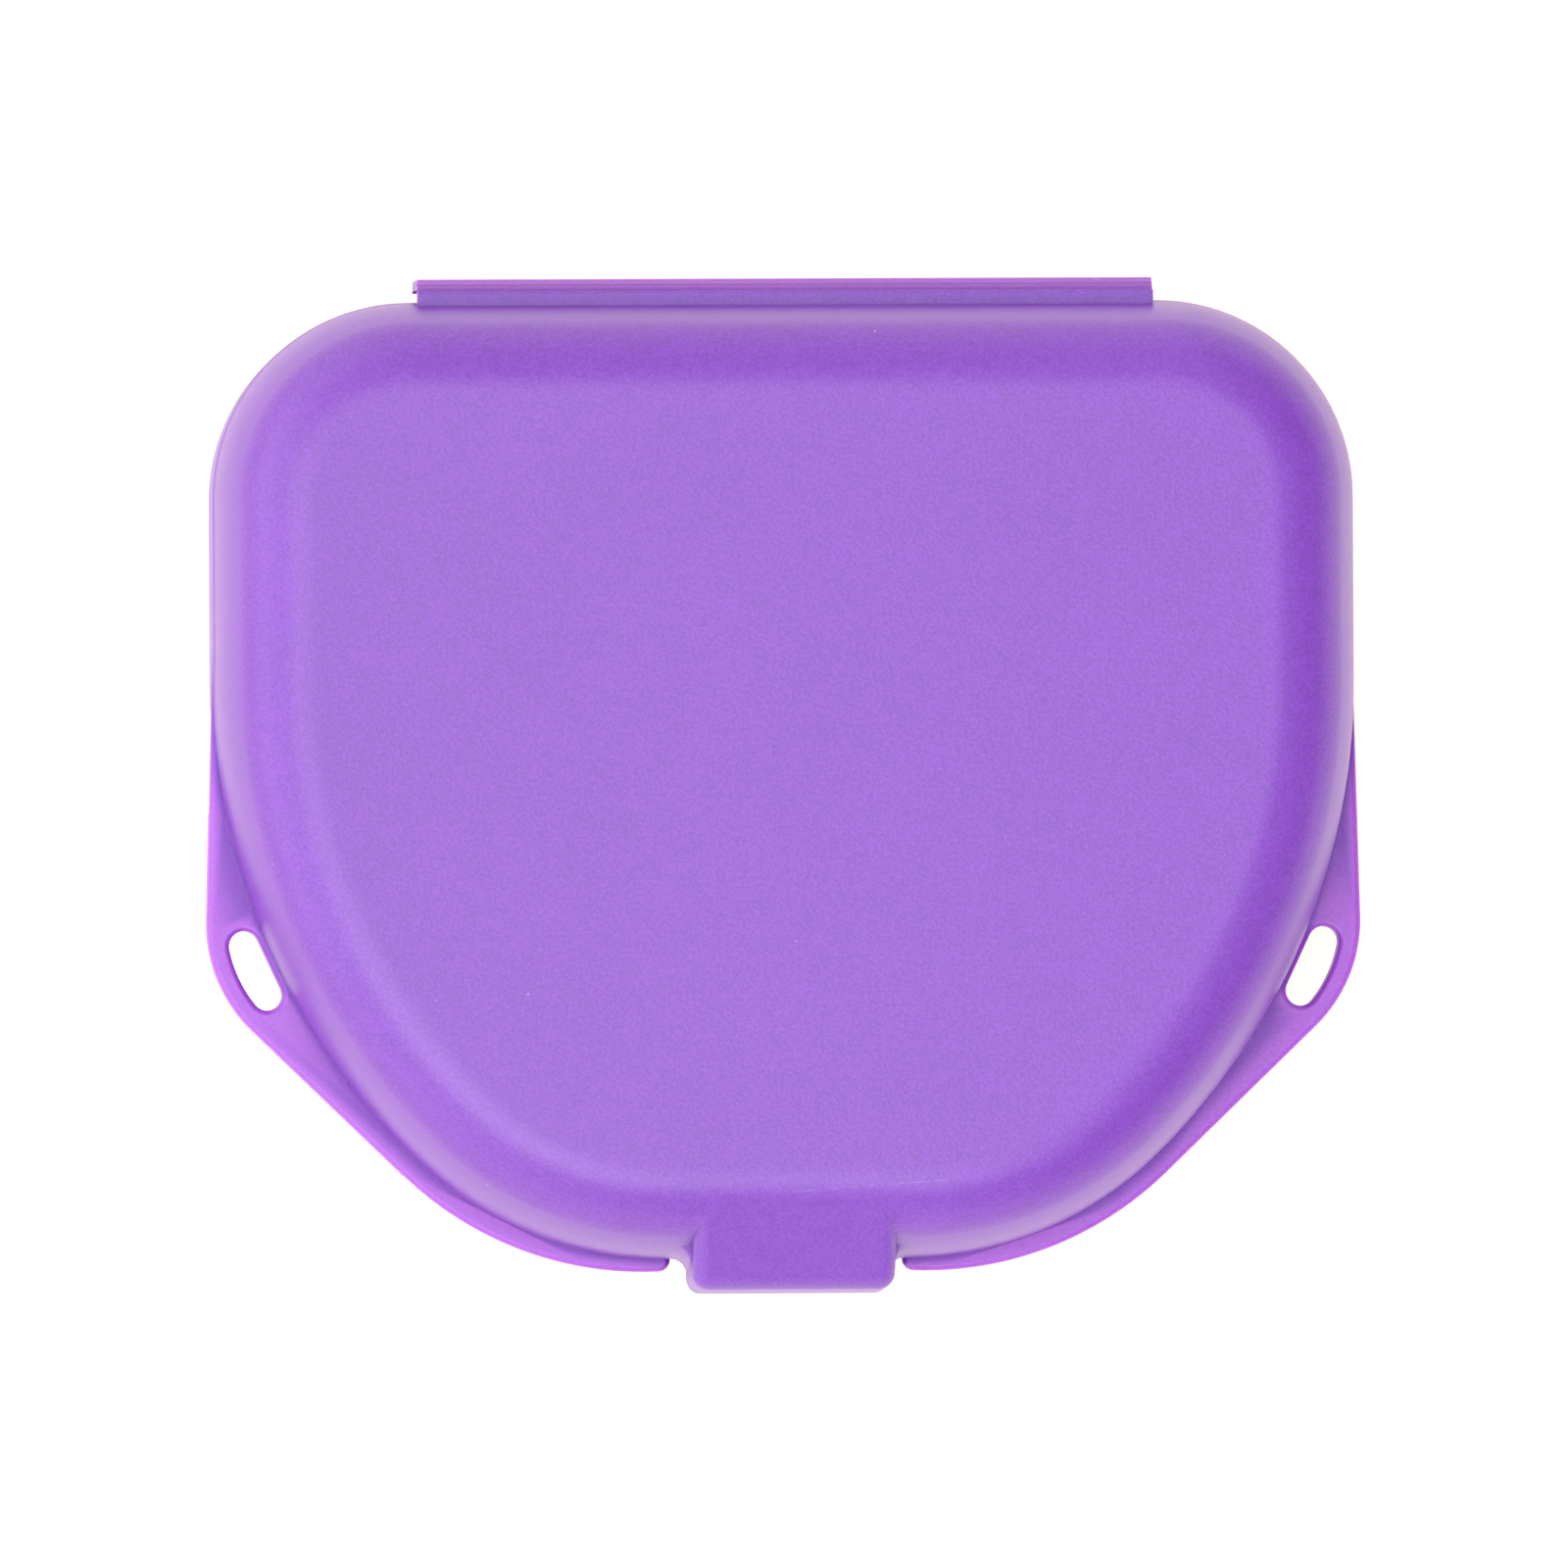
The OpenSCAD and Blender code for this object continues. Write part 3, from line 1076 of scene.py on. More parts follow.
@dataclass
class Lid:
    """The domed lid with its skirt, hinge ledge and the fixed upper part of the latch tab.

    Attributes:
        outline: The outline in plan.
        shell: The wall's sizes.
        skirt_n: Thickness of the skirt outside the lip.
        mouth_soft: Chamfer of the skirt's inner edge.
        rebate_z: Height of the rebate above the skirt.
        ledge: The hinge ledge.
        tab_x: Half width of the tab.
        tab_reach: Reach of the tab beyond the wall.
        tab_break: Distance in from the front at which the tab leaves the dome.
        tab_bite: How far the tab's top runs on inside the dome.
        tab_slope: Slope of the tab's top face, in degrees.
        tab_draft: Lean of the tab's front face, in degrees.
        tab_r: Radius of the tab's outer edges.
        tab_steps: Faces across those edges.
        root_r: Radius of the hollow between tab and wall.
        root_steps: Faces across that hollow.
        root_top: Height up to which that hollow is rounded.
    """

    outline: CaseOutline
    shell: ShellSizes = ShellSizes(
        rim_z=14.15, crown_z=26.0, edge_r=5.426, lean=0.1, edge_turn=70.0, bow_r=22.4
    )
    skirt_n: float = 0.5
    mouth_soft: float = 0.1
    rebate_z: float = 15.65
    ledge: Ledge = Ledge(half_x=26.1, low=16.575, high=17.775)
    tab_x: float = 7.2
    tab_reach: float = 2.5
    tab_break: float = 3.24
    tab_bite: float = 0.2
    tab_slope: float = 35.0
    tab_draft: float = 2.5
    tab_r: float = 1.1
    tab_steps: int = 6
    root_r: float = 1.1
    root_steps: int = 5
    root_top: float = 21.1

    def build(self) -> bpy.types.Object:
        """Models the lid.

        Returns:
            The finished object.
        """
        body = self.shell.solid("lid", self.outline)
        body.combine(self._tab(), Join.UNION)
        self._soften_root(body)
        ledge = self.ledge.build(self.outline, self.shell.wall, self.ledge.high)
        body.combine(ledge, Join.UNION)
        body.combine(self._hollow(), Join.CUT)
        return body.finish()

    def _hollow(self) -> Workpiece:
        """Models the space inside the lid with the rebate for the lip, to be cut out."""
        shell = self.shell
        mouth = [
            (self.skirt_n - self.mouth_soft, shell.rim_z),
            (self.skirt_n, shell.rim_z + self.mouth_soft),
            (self.skirt_n, self.rebate_z),
            (shell.inner_n(self.rebate_z), self.rebate_z),
        ]
        return shell.hollow("lid_hollow", self.outline, mouth)

    def _tab(self) -> Workpiece:
        """Models the fixed part of the latch tab, with a sloped top and rounded outer edges."""
        front = self.outline.front_y - self.tab_reach
        centre = self.shell.edge_centre
        leave = math.asin((centre[0] - self.tab_break) / self.shell.edge_r)
        start_z = centre[1] + self.shell.edge_r * math.cos(leave)
        back = self.outline.front_y + self.tab_break + self.tab_bite
        low = (-self.tab_x, front, self.shell.rim_z)
        tab = Workpiece.block("tab", low, (self.tab_x, back, self.shell.crown_z))
        slope, draft = math.radians(self.tab_slope), math.radians(self.tab_draft)
        upward = (0.0, -math.sin(slope), math.cos(slope))
        tab.slice((0.0, self.outline.front_y + self.tab_break, start_z), upward, clear=True)
        forward = (0.0, -math.cos(draft), math.sin(draft))
        tab.slice((0.0, front, self.shell.rim_z), forward, clear=True)

        def outer(e: bmesh.types.BMEdge) -> bool:
            """Picks all edges except those at the rim and inside the dome."""
            return not level(e, self.shell.rim_z) and not abreast(e, back)

        return tab.round_edges(self.tab_r, self.tab_steps, outer)

    def _soften_root(self, body: Workpiece) -> None:
        """Rounds the hollow edges where the tab's sides meet the wall.

        Args:
            body: The lid with the tab joined to it.
        """
        low = self.shell.rim_z + self.shell.rim_r

        def root(e: bmesh.types.BMEdge) -> bool:
            """Picks the upright hollow edges beside the tab."""
            on_side = all(abs(abs(v.co.x) - self.tab_x) < 2 * NEAR for v in e.verts)
            between = all(low - 2 * NEAR < v.co.z < self.root_top for v in e.verts)
            return on_side and between and len(e.link_faces) == 2 and not e.is_convex

        body.round_edges(self.root_r, self.root_steps, root)


@dataclass
class Hinge:
    """The strap behind the case and the two slim webs that fold.

    Attributes:
        half_x: Half length of the hinge.
        strap_y: Place of the strap's inner face.
        strap_t: Thickness of the strap.
        strap_low: Height of the strap's lower end.
        strap_high: Height of the strap's upper end.
        strap_r: Radius of the strap's outer edges.
        strap_steps: Faces across those edges.
        pale_h: Height of the strap's pale ends, which carry a painted glow; the strap keeps its thickness there.
        pale_most: The painted-light mark at its very ends, from 0 to 1.
        pale_steps: Slices across each pale end.
        web_t: Thickness of a web.
        web_r: Inner bend radius of a web.
        web_steps: Faces round a web's bend.
    """

    half_x: float = 26.1
    strap_y: float = 35.20484
    strap_t: float = 0.75
    strap_low: float = 11.725
    strap_high: float = 16.425
    strap_r: float = 0.16
    strap_steps: int = 4
    pale_h: float = 1.2
    pale_most: float = 0.8
    pale_steps: int = 4
    web_t: float = 0.35
    web_r: float = 0.15
    web_steps: int = 12

    def build_strap(self) -> bpy.types.Object:
        """Models the strap.

        Returns:
            The finished object.
        """
        outer = self.strap_y + self.strap_t
        low = (-self.half_x, self.strap_y, self.strap_low)
        strap = Workpiece.block("hinge_strip", low, (self.half_x, outer, self.strap_high))
        strap.round_edges(self.strap_r, self.strap_steps, lambda e: abreast(e, outer))
        for i in range(1, self.pale_steps + 1):
            in_from_end = self.pale_h * i / self.pale_steps
            for z in (self.strap_low + in_from_end, self.strap_high - in_from_end):
                strap.slice((0.0, 0.0, z), (0.0, 0.0, 1.0))
        return strap.finish()

    def thinness(self, place: Vector) -> float:
        """Gives the strap's painted-light mark at a place, a painted glow most at its two ends."""
        end = min(self.strap_high - place.z, place.z - self.strap_low)
        return self.pale_most * (1.0 - end / self.pale_h)

    def build_web(self, name: str, upper: bool) -> bpy.types.Object:
        """Models one folding web as a quarter bend.

        Args:
            name: The piece's name.
            upper: Whether it is the lid's web.

        Returns:
            The finished object.
        """
        z = self.strap_high if upper else self.strap_low
        centre = (self.strap_y - self.web_r, z)
        out = self.web_r + self.web_t
        turn = 90.0 if upper else -90.0
        strokes: list[Stroke] = [
            Arc(centre, turn, self.web_steps),
            Line(polar(centre, self.web_r, turn)),
            Arc(centre, -turn, self.web_steps),
        ]
        web = Workpiece(name).draw(polar(centre, out, 0.0), -self.half_x, strokes, Plane.SECTION)
        web.raise_face(2 * self.half_x)
        return web.finish()

    def bend_ends(self, upper: bool) -> tuple[Vector, Vector]:
        """Gives the points between which a web bends.

        Args:
            upper: Whether it is the lid's web.

        Returns:
            The point at the ledge and the point at the strap, in metres.
        """
        z = self.strap_high if upper else self.strap_low
        sense = 1.0 if upper else -1.0
        at_ledge = Vector((0.0, self.strap_y - self.web_r, z + sense * self.web_r))
        at_strap = Vector((0.0, self.strap_y, z))
        return at_ledge * MM, at_strap * MM


@dataclass
class Latch:
    """The snap tongue below the lid's rim, with its hook.

    Attributes:
        half_x: Half width of the tongue.
        front: Place of its outer face.
        inner: Place of its inner face.
        root_z: Height of its root at the lid's rim.
        foot_z: Height of its lower end.
        hook_z: Height of the hook's upper face.
        hook_h: Height of the hook's upright nose.
        hook_reach: Reach of the hook.
        corner_r: Radius of the upright corners.
        foot_r: Radius of the lower edge round the front and the sides.
        nose_r: Radius of the hook's nose.
        round_steps: Faces across the corners, the lower edge and the nose.
        bend_z: Height below which the tongue moves as one.
        bend_steps: Slices across the bending part.
    """

    half_x: float = 6.75
    front: float = -35.95484
    inner: float = -34.70484
    root_z: float = 14.15
    foot_z: float = 8.55
    hook_z: float = 9.6
    hook_h: float = 0.4
    hook_reach: float = 0.65
    corner_r: float = 0.8
    foot_r: float = 0.4
    nose_r: float = 0.1
    round_steps: tuple[int, int, int] = (6, 4, 2)
    bend_z: float = 12.4
    bend_steps: int = 8

    def build(self) -> bpy.types.Object:
        """Models the tongue.

        Returns:
            The finished object.
        """
        tip = self.inner + self.hook_reach
        strokes = [
            Line((self.front, self.foot_z)),
            Line((self.inner, self.foot_z)),
            Line((tip, self.hook_z - self.hook_h)),
            Line((tip, self.hook_z)),
            Line((self.inner, self.hook_z)),
            Line((self.inner, self.root_z)),
        ]
        tongue = Workpiece("snap_tongue").draw(
            (self.front, self.root_z), -self.half_x, strokes, Plane.SECTION
        )
        tongue.raise_face(2 * self.half_x)

        def outer(e: bmesh.types.BMEdge) -> bool:
            """Picks the front's upright corners."""
            return abreast(e, self.front) and abs(mid(e).x) > self.half_x - 2 * NEAR

        def foot(e: bmesh.types.BMEdge) -> bool:
            """Picks the lower edge round the front and the sides."""
            return level(e, self.foot_z) and mid(e).y < self.inner - 2 * NEAR and right_angle(e)

        at_corner, at_foot, at_nose = self.round_steps
        tongue.round_edges(self.corner_r, at_corner, outer)
        tongue.round_edges(self.foot_r, at_foot, foot)
        tongue.round_edges(self.nose_r, at_nose, lambda e: abreast(e, tip))
        for i in range(1, self.bend_steps + 1):
            z = self.root_z + (self.bend_z - self.root_z) * i / self.bend_steps
            tongue.slice((0.0, 0.0, z), (0.0, 0.0, 1.0))
        return tongue.finish()

    def bend_ends(self) -> tuple[Vector, Vector]:
        """Gives the points between which the tongue bends, in metres."""
        y = (self.front + self.inner) / 2
        return Vector((0.0, y, self.root_z)) * MM, Vector((0.0, y, self.bend_z)) * MM


class Sock:
    """A shader socket that takes part in Python expressions."""

    def __init__(self, graph: "Graph", socket: bpy.types.NodeSocket) -> None:
        """Wraps an output socket.

        Args:
            graph: The graph that the socket belongs to.
            socket: The output socket.
        """
        self.graph = graph
        self.socket = socket

    def _math(self, operation: str, first: Any, second: Any) -> "Sock":
        """Adds a Math node for an operation on two values."""
        return self.graph.node("ShaderNodeMath", {"operation": operation}, {0: first, 1: second})

    def __add__(self, other: Any) -> "Sock":
        """Adds a value."""
        return self._math("ADD", self, other)

    def __radd__(self, other: Any) -> "Sock":
        """Adds to a value."""
        return self._math("ADD", other, self)

    def __sub__(self, other: Any) -> "Sock":
        """Takes away a value."""
        return self._math("SUBTRACT", self, other)

    def __rsub__(self, other: Any) -> "Sock":
        """Is taken away from a value."""
        return self._math("SUBTRACT", other, self)

    def __mul__(self, other: Any) -> "Sock":
        """Multiplies by a value."""
        return self._math("MULTIPLY", self, other)

    def __rmul__(self, other: Any) -> "Sock":
        """Multiplies a value."""
        return self._math("MULTIPLY", other, self)

    def __pow__(self, other: float) -> "Sock":
        """Raises to a power."""
        return self._math("POWER", self, other)

    def __abs__(self) -> "Sock":
        """Drops the sign."""
        return self._math("ABSOLUTE", self, 0.0)

    def at_least(self, low: float) -> "Sock":
        """Keeps from falling below a value."""
        return self._math("MAXIMUM", self, low)

    def smooth(self, low: float, high: float) -> "Sock":
        """Goes smoothly from 0 at low to 1 at high.

        Args:
            low: The value at which the result is 0.
            high: The value at which the result is 1.

        Returns:
            The result.
        """
        return self.graph.node(
            "ShaderNodeMapRange",
            {"interpolation_type": "SMOOTHSTEP"},
            {"Value": self, "From Min": low, "From Max": high, "To Min": 0.0, "To Max": 1.0},
        )


class Graph:
    """The node graph of a material or a world."""

    def __init__(self, owner: bpy.types.Material | bpy.types.World) -> None:
        """Starts an empty graph.

        Args:
            owner: The new material or world.
        """
        owner.use_nodes = True
        self.owner = owner
        self.tree = owner.node_tree
        self.tree.nodes.clear()

    def add(
        self, kind: str, settings: dict[str, Any] | None, sockets: dict[Any, Any]
    ) -> bpy.types.Node:
        """Adds a node.

        Args:
            kind: The node's type.
            settings: Its settings, which are set first.
            sockets: Values or links by socket name, identifier or number.

        Returns:
            The node.
        """
        node = self.tree.nodes.new(kind)
        for key, value in (settings or {}).items():
            setattr(node, key, value)
        for key, value in sockets.items():
            socket = self._input(node, key)
            if isinstance(value, Sock):
                self.tree.links.new(value.socket, socket)
            elif socket.type == "RGBA" and len(value) == 3:
                socket.default_value = (*value, 1.0)
            else:
                socket.default_value = value
        return node

    @staticmethod
    def _input(node: bpy.types.Node, key: Any) -> bpy.types.NodeSocket:
        """Finds an input by number, identifier or name."""
        if isinstance(key, int):
            return node.inputs[key]
        for socket in node.inputs:
            if socket.identifier == key:
                return socket
        return node.inputs[key]

    def node(
        self, kind: str, settings: dict[str, Any] | None, sockets: dict[Any, Any], out: Any = 0
    ) -> Sock:
        """Adds a node and gives one of its outputs.

        Args:
            kind: The node's type.
            settings: Its settings, which are set first.
            sockets: Values or links by socket name, identifier or number.
            out: Name or number of the output.

        Returns:
            The output.
        """
        return Sock(self, self.add(kind, settings, sockets).outputs[out])

    def split(self, vector: Sock) -> tuple[Sock, Sock, Sock]:
        """Gives a vector's three parts."""
        parts = self.add("ShaderNodeSeparateXYZ", None, {"Vector": vector})
        x, y, z = (Sock(self, output) for output in parts.outputs)
        return x, y, z

    def noise(self, place: Sock, scale: float, detail: float) -> Sock:
        """Adds a noise with about so many waves to the unit of place."""
        sockets = {"Vector": place, "Scale": scale, "Detail": detail}
        return self.node("ShaderNodeTexNoise", None, sockets)

    def blend(self, share: Any, a: Any, b: Any) -> Sock:
        """Mixes two colours.

        Args:
            share: How much of the second colour there is.
            a: The first colour.
            b: The second colour.

        Returns:
            The mixed colour.
        """
        sockets = {"Factor_Float": share, "A_Color": a, "B_Color": b}
        mix = self.add("ShaderNodeMix", {"data_type": "RGBA"}, sockets)
        return Sock(self, next(s for s in mix.outputs if s.identifier == "Result_Color"))


@dataclass(frozen=True)
class Hairline:
    """One broken hairline from wear, across the rounded front edge of the lid.

    Attributes:
        front: How far in front of the middle of the case it crosses the middle line.
        slope: Its slope in plan.
        start: Where it begins to show and where it shows in full.
        end: Where it begins to fade and where it ends.
        width: Half width of its core and of its soft edge.
        gap_scale: Gaps to the millimetre.
        gap_edge: Noise values between which a gap closes.
        strength: How clearly it shows.
    """

    front: float = 28.75
    slope: float = 0.075
    start: Point2 = (-3.0, 0.5)
    end: Point2 = (9.0, 12.0)
    width: Point2 = (0.01, 0.05)
    gap_scale: float = 0.9
    gap_edge: Point2 = (0.3, 0.55)
    strength: float = 0.2

    def draw(self, g: Graph, mm: Sock) -> Sock:
        """Gives how clearly the hairline shows at a place.

        Args:
            g: The material's graph.
            mm: The place, in millimetres.

        Returns:
            The share of the hairline.
        """
        x, y, _ = g.split(mm)
        off = abs(y + self.front - x * self.slope)
        span = x.smooth(*self.start) * (1.0 - x.smooth(*self.end))
        gaps = g.noise(mm, self.gap_scale, 1.0)
        line = 1.0 - off.smooth(*self.width)
        return line * span * gaps.smooth(*self.gap_edge) * self.strength


@dataclass(frozen=True)
class Specks:
    """Sparse specks of dust and small nicks.

    Attributes:
        scale: Cells that may hold a speck to the millimetre.
        size: Radius of a speck's core and of its soft edge, in cells.
        rare: Cell values between which a cell begins to hold a speck.
    """

    scale: float = 0.33
    size: Point2 = (0.012, 0.03)
    rare: Point2 = (0.55, 0.6)

    def draw(self, g: Graph, mm: Sock) -> Sock:
        """Gives how clearly a speck shows at a place.

        Args:
            g: The material's graph.
            mm: The place, in millimetres.

        Returns:
            The share of the specks.
        """
        cells = g.add("ShaderNodeTexVoronoi", None, {"Vector": mm, "Scale": self.scale})
        near = 1.0 - Sock(g, cells.outputs["Distance"]).smooth(*self.size)
        value = g.node("ShaderNodeSeparateColor", None, {"Color": Sock(g, cells.outputs["Color"])})
        return near * value.smooth(*self.rare)


@dataclass(frozen=True)
class PlasticFinish:
    """A satin polypropylene with a fine spark-eroded grain and dust specks.

    Attributes:
        name: The material's name.
        body: Colour of the lighter grains.
        deep: Colour of the darker grains.
        thin: Painted glow, a lighter colour standing for light that passes through the plastic from below, where the
            mark is high.
        root: Painted shade, a darker colour where the mark is low, between the plain plastic and the painted glow.
        speck: Colour of dust specks and nicks.
        roughness: Mean roughness.
        uneven: How much the mottle and the grain change the roughness.
        milky: Share of the light that scatters inside the plastic.
        scatter: How far red, green and blue light scatter, in millimetres.
        grain: Depth of the grain, in millimetres.
        relief: Shares of grain, fine grain and specks in that depth.
        ior: Index of refraction.
        waves: Waves to the millimetre and detail of clouds, mottle, grain and fine grain.
        shares: Their shares in the tone.
        tones: Sums between which the tone goes from deep to body.
        thin_from: Mark values between which the colour goes over to the painted shade of root.
        thin_to: Mark values between which it goes from the painted shade to the painted glow.
        thin_grain: Share of deep in the darkest grains where light is painted.
        cover: How much of the colour a speck covers.
        specks: The dust specks and nicks.
        hairline: A hairline from wear, where there is one.
    """

    name: str
    body: Colour = (0.208, 0.055, 0.448)
    deep: Colour = (0.152, 0.038, 0.340)
    thin: Colour = (0.350, 0.080, 0.540)
    root: Colour = (0.170, 0.012, 0.400)
    speck: Colour = (0.640, 0.480, 0.800)
    roughness: float = 0.34
    uneven: Point2 = (0.08, 0.12)
    milky: float = 0.4
    scatter: Colour = (1.6, 0.7, 2.0)
    grain: float = 0.028
    relief: tuple[float, float, float] = (0.6, 0.4, 0.8)
    ior: float = 1.55
    waves: tuple[Point2, ...] = ((0.08, 3.0), (0.9, 2.0), (4.2, 2.0), (9.0, 1.0))
    shares: tuple[float, ...] = (0.06, 0.1, 0.54, 0.3)
    tones: Point2 = (0.36, 0.64)
    thin_from: Point2 = (0.0, 0.12)
    thin_to: Point2 = (0.15, 1.0)
    thin_grain: float = 0.3
    cover: float = 0.75
    specks: Specks = Specks()
    hairline: Hairline | None = None

    def make(self) -> bpy.types.Material:
        """Builds the material.

        Returns:
            The material.
        """
        g = Graph(bpy.data.materials.new(self.name))
        place = g.node("ShaderNodeTexCoord", None, {}, "Object")
        scale = {"Vector": place, "Scale": 1.0 / MM}
        mm = g.node("ShaderNodeVectorMath", {"operation": "SCALE"}, scale)
        clouds, mottle, grain, fine = (g.noise(mm, *wave) for wave in self.waves)
        a, b, c, d = self.shares
        tone = (clouds * a + mottle * b + grain * c + fine * d).smooth(*self.tones)
        specks = self.specks.draw(g, mm)
        if self.hairline:
            specks = specks + self.hairline.draw(g, mm)
        colour = self._colour(g, tone, specks)
        a, b = self.uneven
        rough = self.roughness + (mottle - 0.5) * a + (grain - 0.5) * b
        a, b, c = self.relief
        height = grain * a + fine * b + specks * c
        depth = {"Strength": 1.0, "Distance": self.grain * MM, "Height": height}
        bump = g.node("ShaderNodeBump", None, depth)
        shader = g.node(
            "ShaderNodeBsdfPrincipled",
            None,
            {
                "Base Color": colour,
                "Roughness": rough,
                "IOR": self.ior,
                "Subsurface Weight": self.milky,
                "Subsurface Radius": self.scatter,
                "Subsurface Scale": MM,
                "Normal": bump,
            },
        )
        g.add("ShaderNodeOutputMaterial", None, {"Surface": shader})
        return g.owner

    def _colour(self, g: Graph, tone: Sock, specks: Sock) -> Sock:
        """Mixes the plastic's colour.

        Args:
            g: The material's graph.
            tone: The grain's tone.
            specks: Where specks lie.

        Returns:
            The colour.
        """
        # Painted light from the mark: the grain colour gives way to the painted shade of root, then to the painted
        # glow of thin.
        thin = g.node("ShaderNodeAttribute", {"attribute_name": PAINTED_LIGHT_MARK}, {}, "Fac")
        edge = g.blend(thin.smooth(*self.thin_to), self.root, self.thin)
        edge = g.blend((1.0 - tone) * self.thin_grain, edge, self.deep)
        colour = g.blend(tone, self.deep, self.body)
        colour = g.blend(thin.smooth(*self.thin_from), colour, edge)
        return g.blend(specks * self.cover, colour, self.speck)


@dataclass(frozen=True)
class FloorFinish:
    """A pale, softly lit tabletop.

    Attributes:
        name: The material's name.
        colour: Its colour.
        glow: Colour of its own light.
        strength: Strength of its own light.
        roughness: Its roughness.
        grain: Waves of its grain to the metre, and their detail.
        shade: Brightness of the grain's darker spots.
        shade_edge: Grain values between which a darker spot ends.
    """

    name: str = "tabletop"
    colour: Colour = (0.36, 0.35, 0.34)
    glow: Colour = (1.0, 0.87, 0.74)
    strength: float = 0.9
    roughness: float = 0.8
    grain: Point2 = (90.0, 3.0)
    shade: float = 0.97
    shade_edge: Point2 = (0.3, 0.7)

    def make(self) -> bpy.types.Material:
        """Builds the material.

        Returns:
            The material.
        """
        g = Graph(bpy.data.materials.new(self.name))
        place = g.node("ShaderNodeTexCoord", None, {}, "Object")
        grain = g.noise(place, *self.grain).smooth(*self.shade_edge)
        darker = tuple(c * self.shade for c in self.colour)
        colour = g.blend(grain, darker, self.colour)
        shader = g.node(
            "ShaderNodeBsdfPrincipled",
            None,
            {
                "Base Color": colour,
                "Roughness": self.roughness,
                "Emission Color": self.glow,
                "Emission Strength": self.strength,
            },
        )
        g.add("ShaderNodeOutputMaterial", None, {"Surface": shader})
        return g.owner


@dataclass(frozen=True)
class Softbox:
    """A large soft light.

    Attributes:
        name: The light's name.
        place: Where it hangs, in metres.
        aim: The point that it faces, in metres.
        size: Its width and height, in metres.
        power: Its power in watts.
        spreads: Whether it lights what scatters light.
        mirrored: Whether it shows in reflections.
    """

    name: str
    place: tuple[float, float, float]
    aim: tuple[float, float, float]
    size: Point2
    power: float
    spreads: bool = True
    mirrored: bool = True

    def hang(self) -> None:
        """Puts the light in the scene."""
        bpy.ops.object.light_add(type="AREA", location=self.place)
        lamp = bpy.context.active_object
        lamp.name = lamp.data.name = self.name
        lamp.data.shape = "RECTANGLE"
        lamp.data.size, lamp.data.size_y = self.size
        lamp.data.energy = self.power
        lamp.visible_diffuse, lamp.visible_glossy = self.spreads, self.mirrored
        toward = Vector(self.aim) - Vector(self.place)
        lamp.rotation_euler = toward.to_track_quat("-Z", "Y").to_euler()


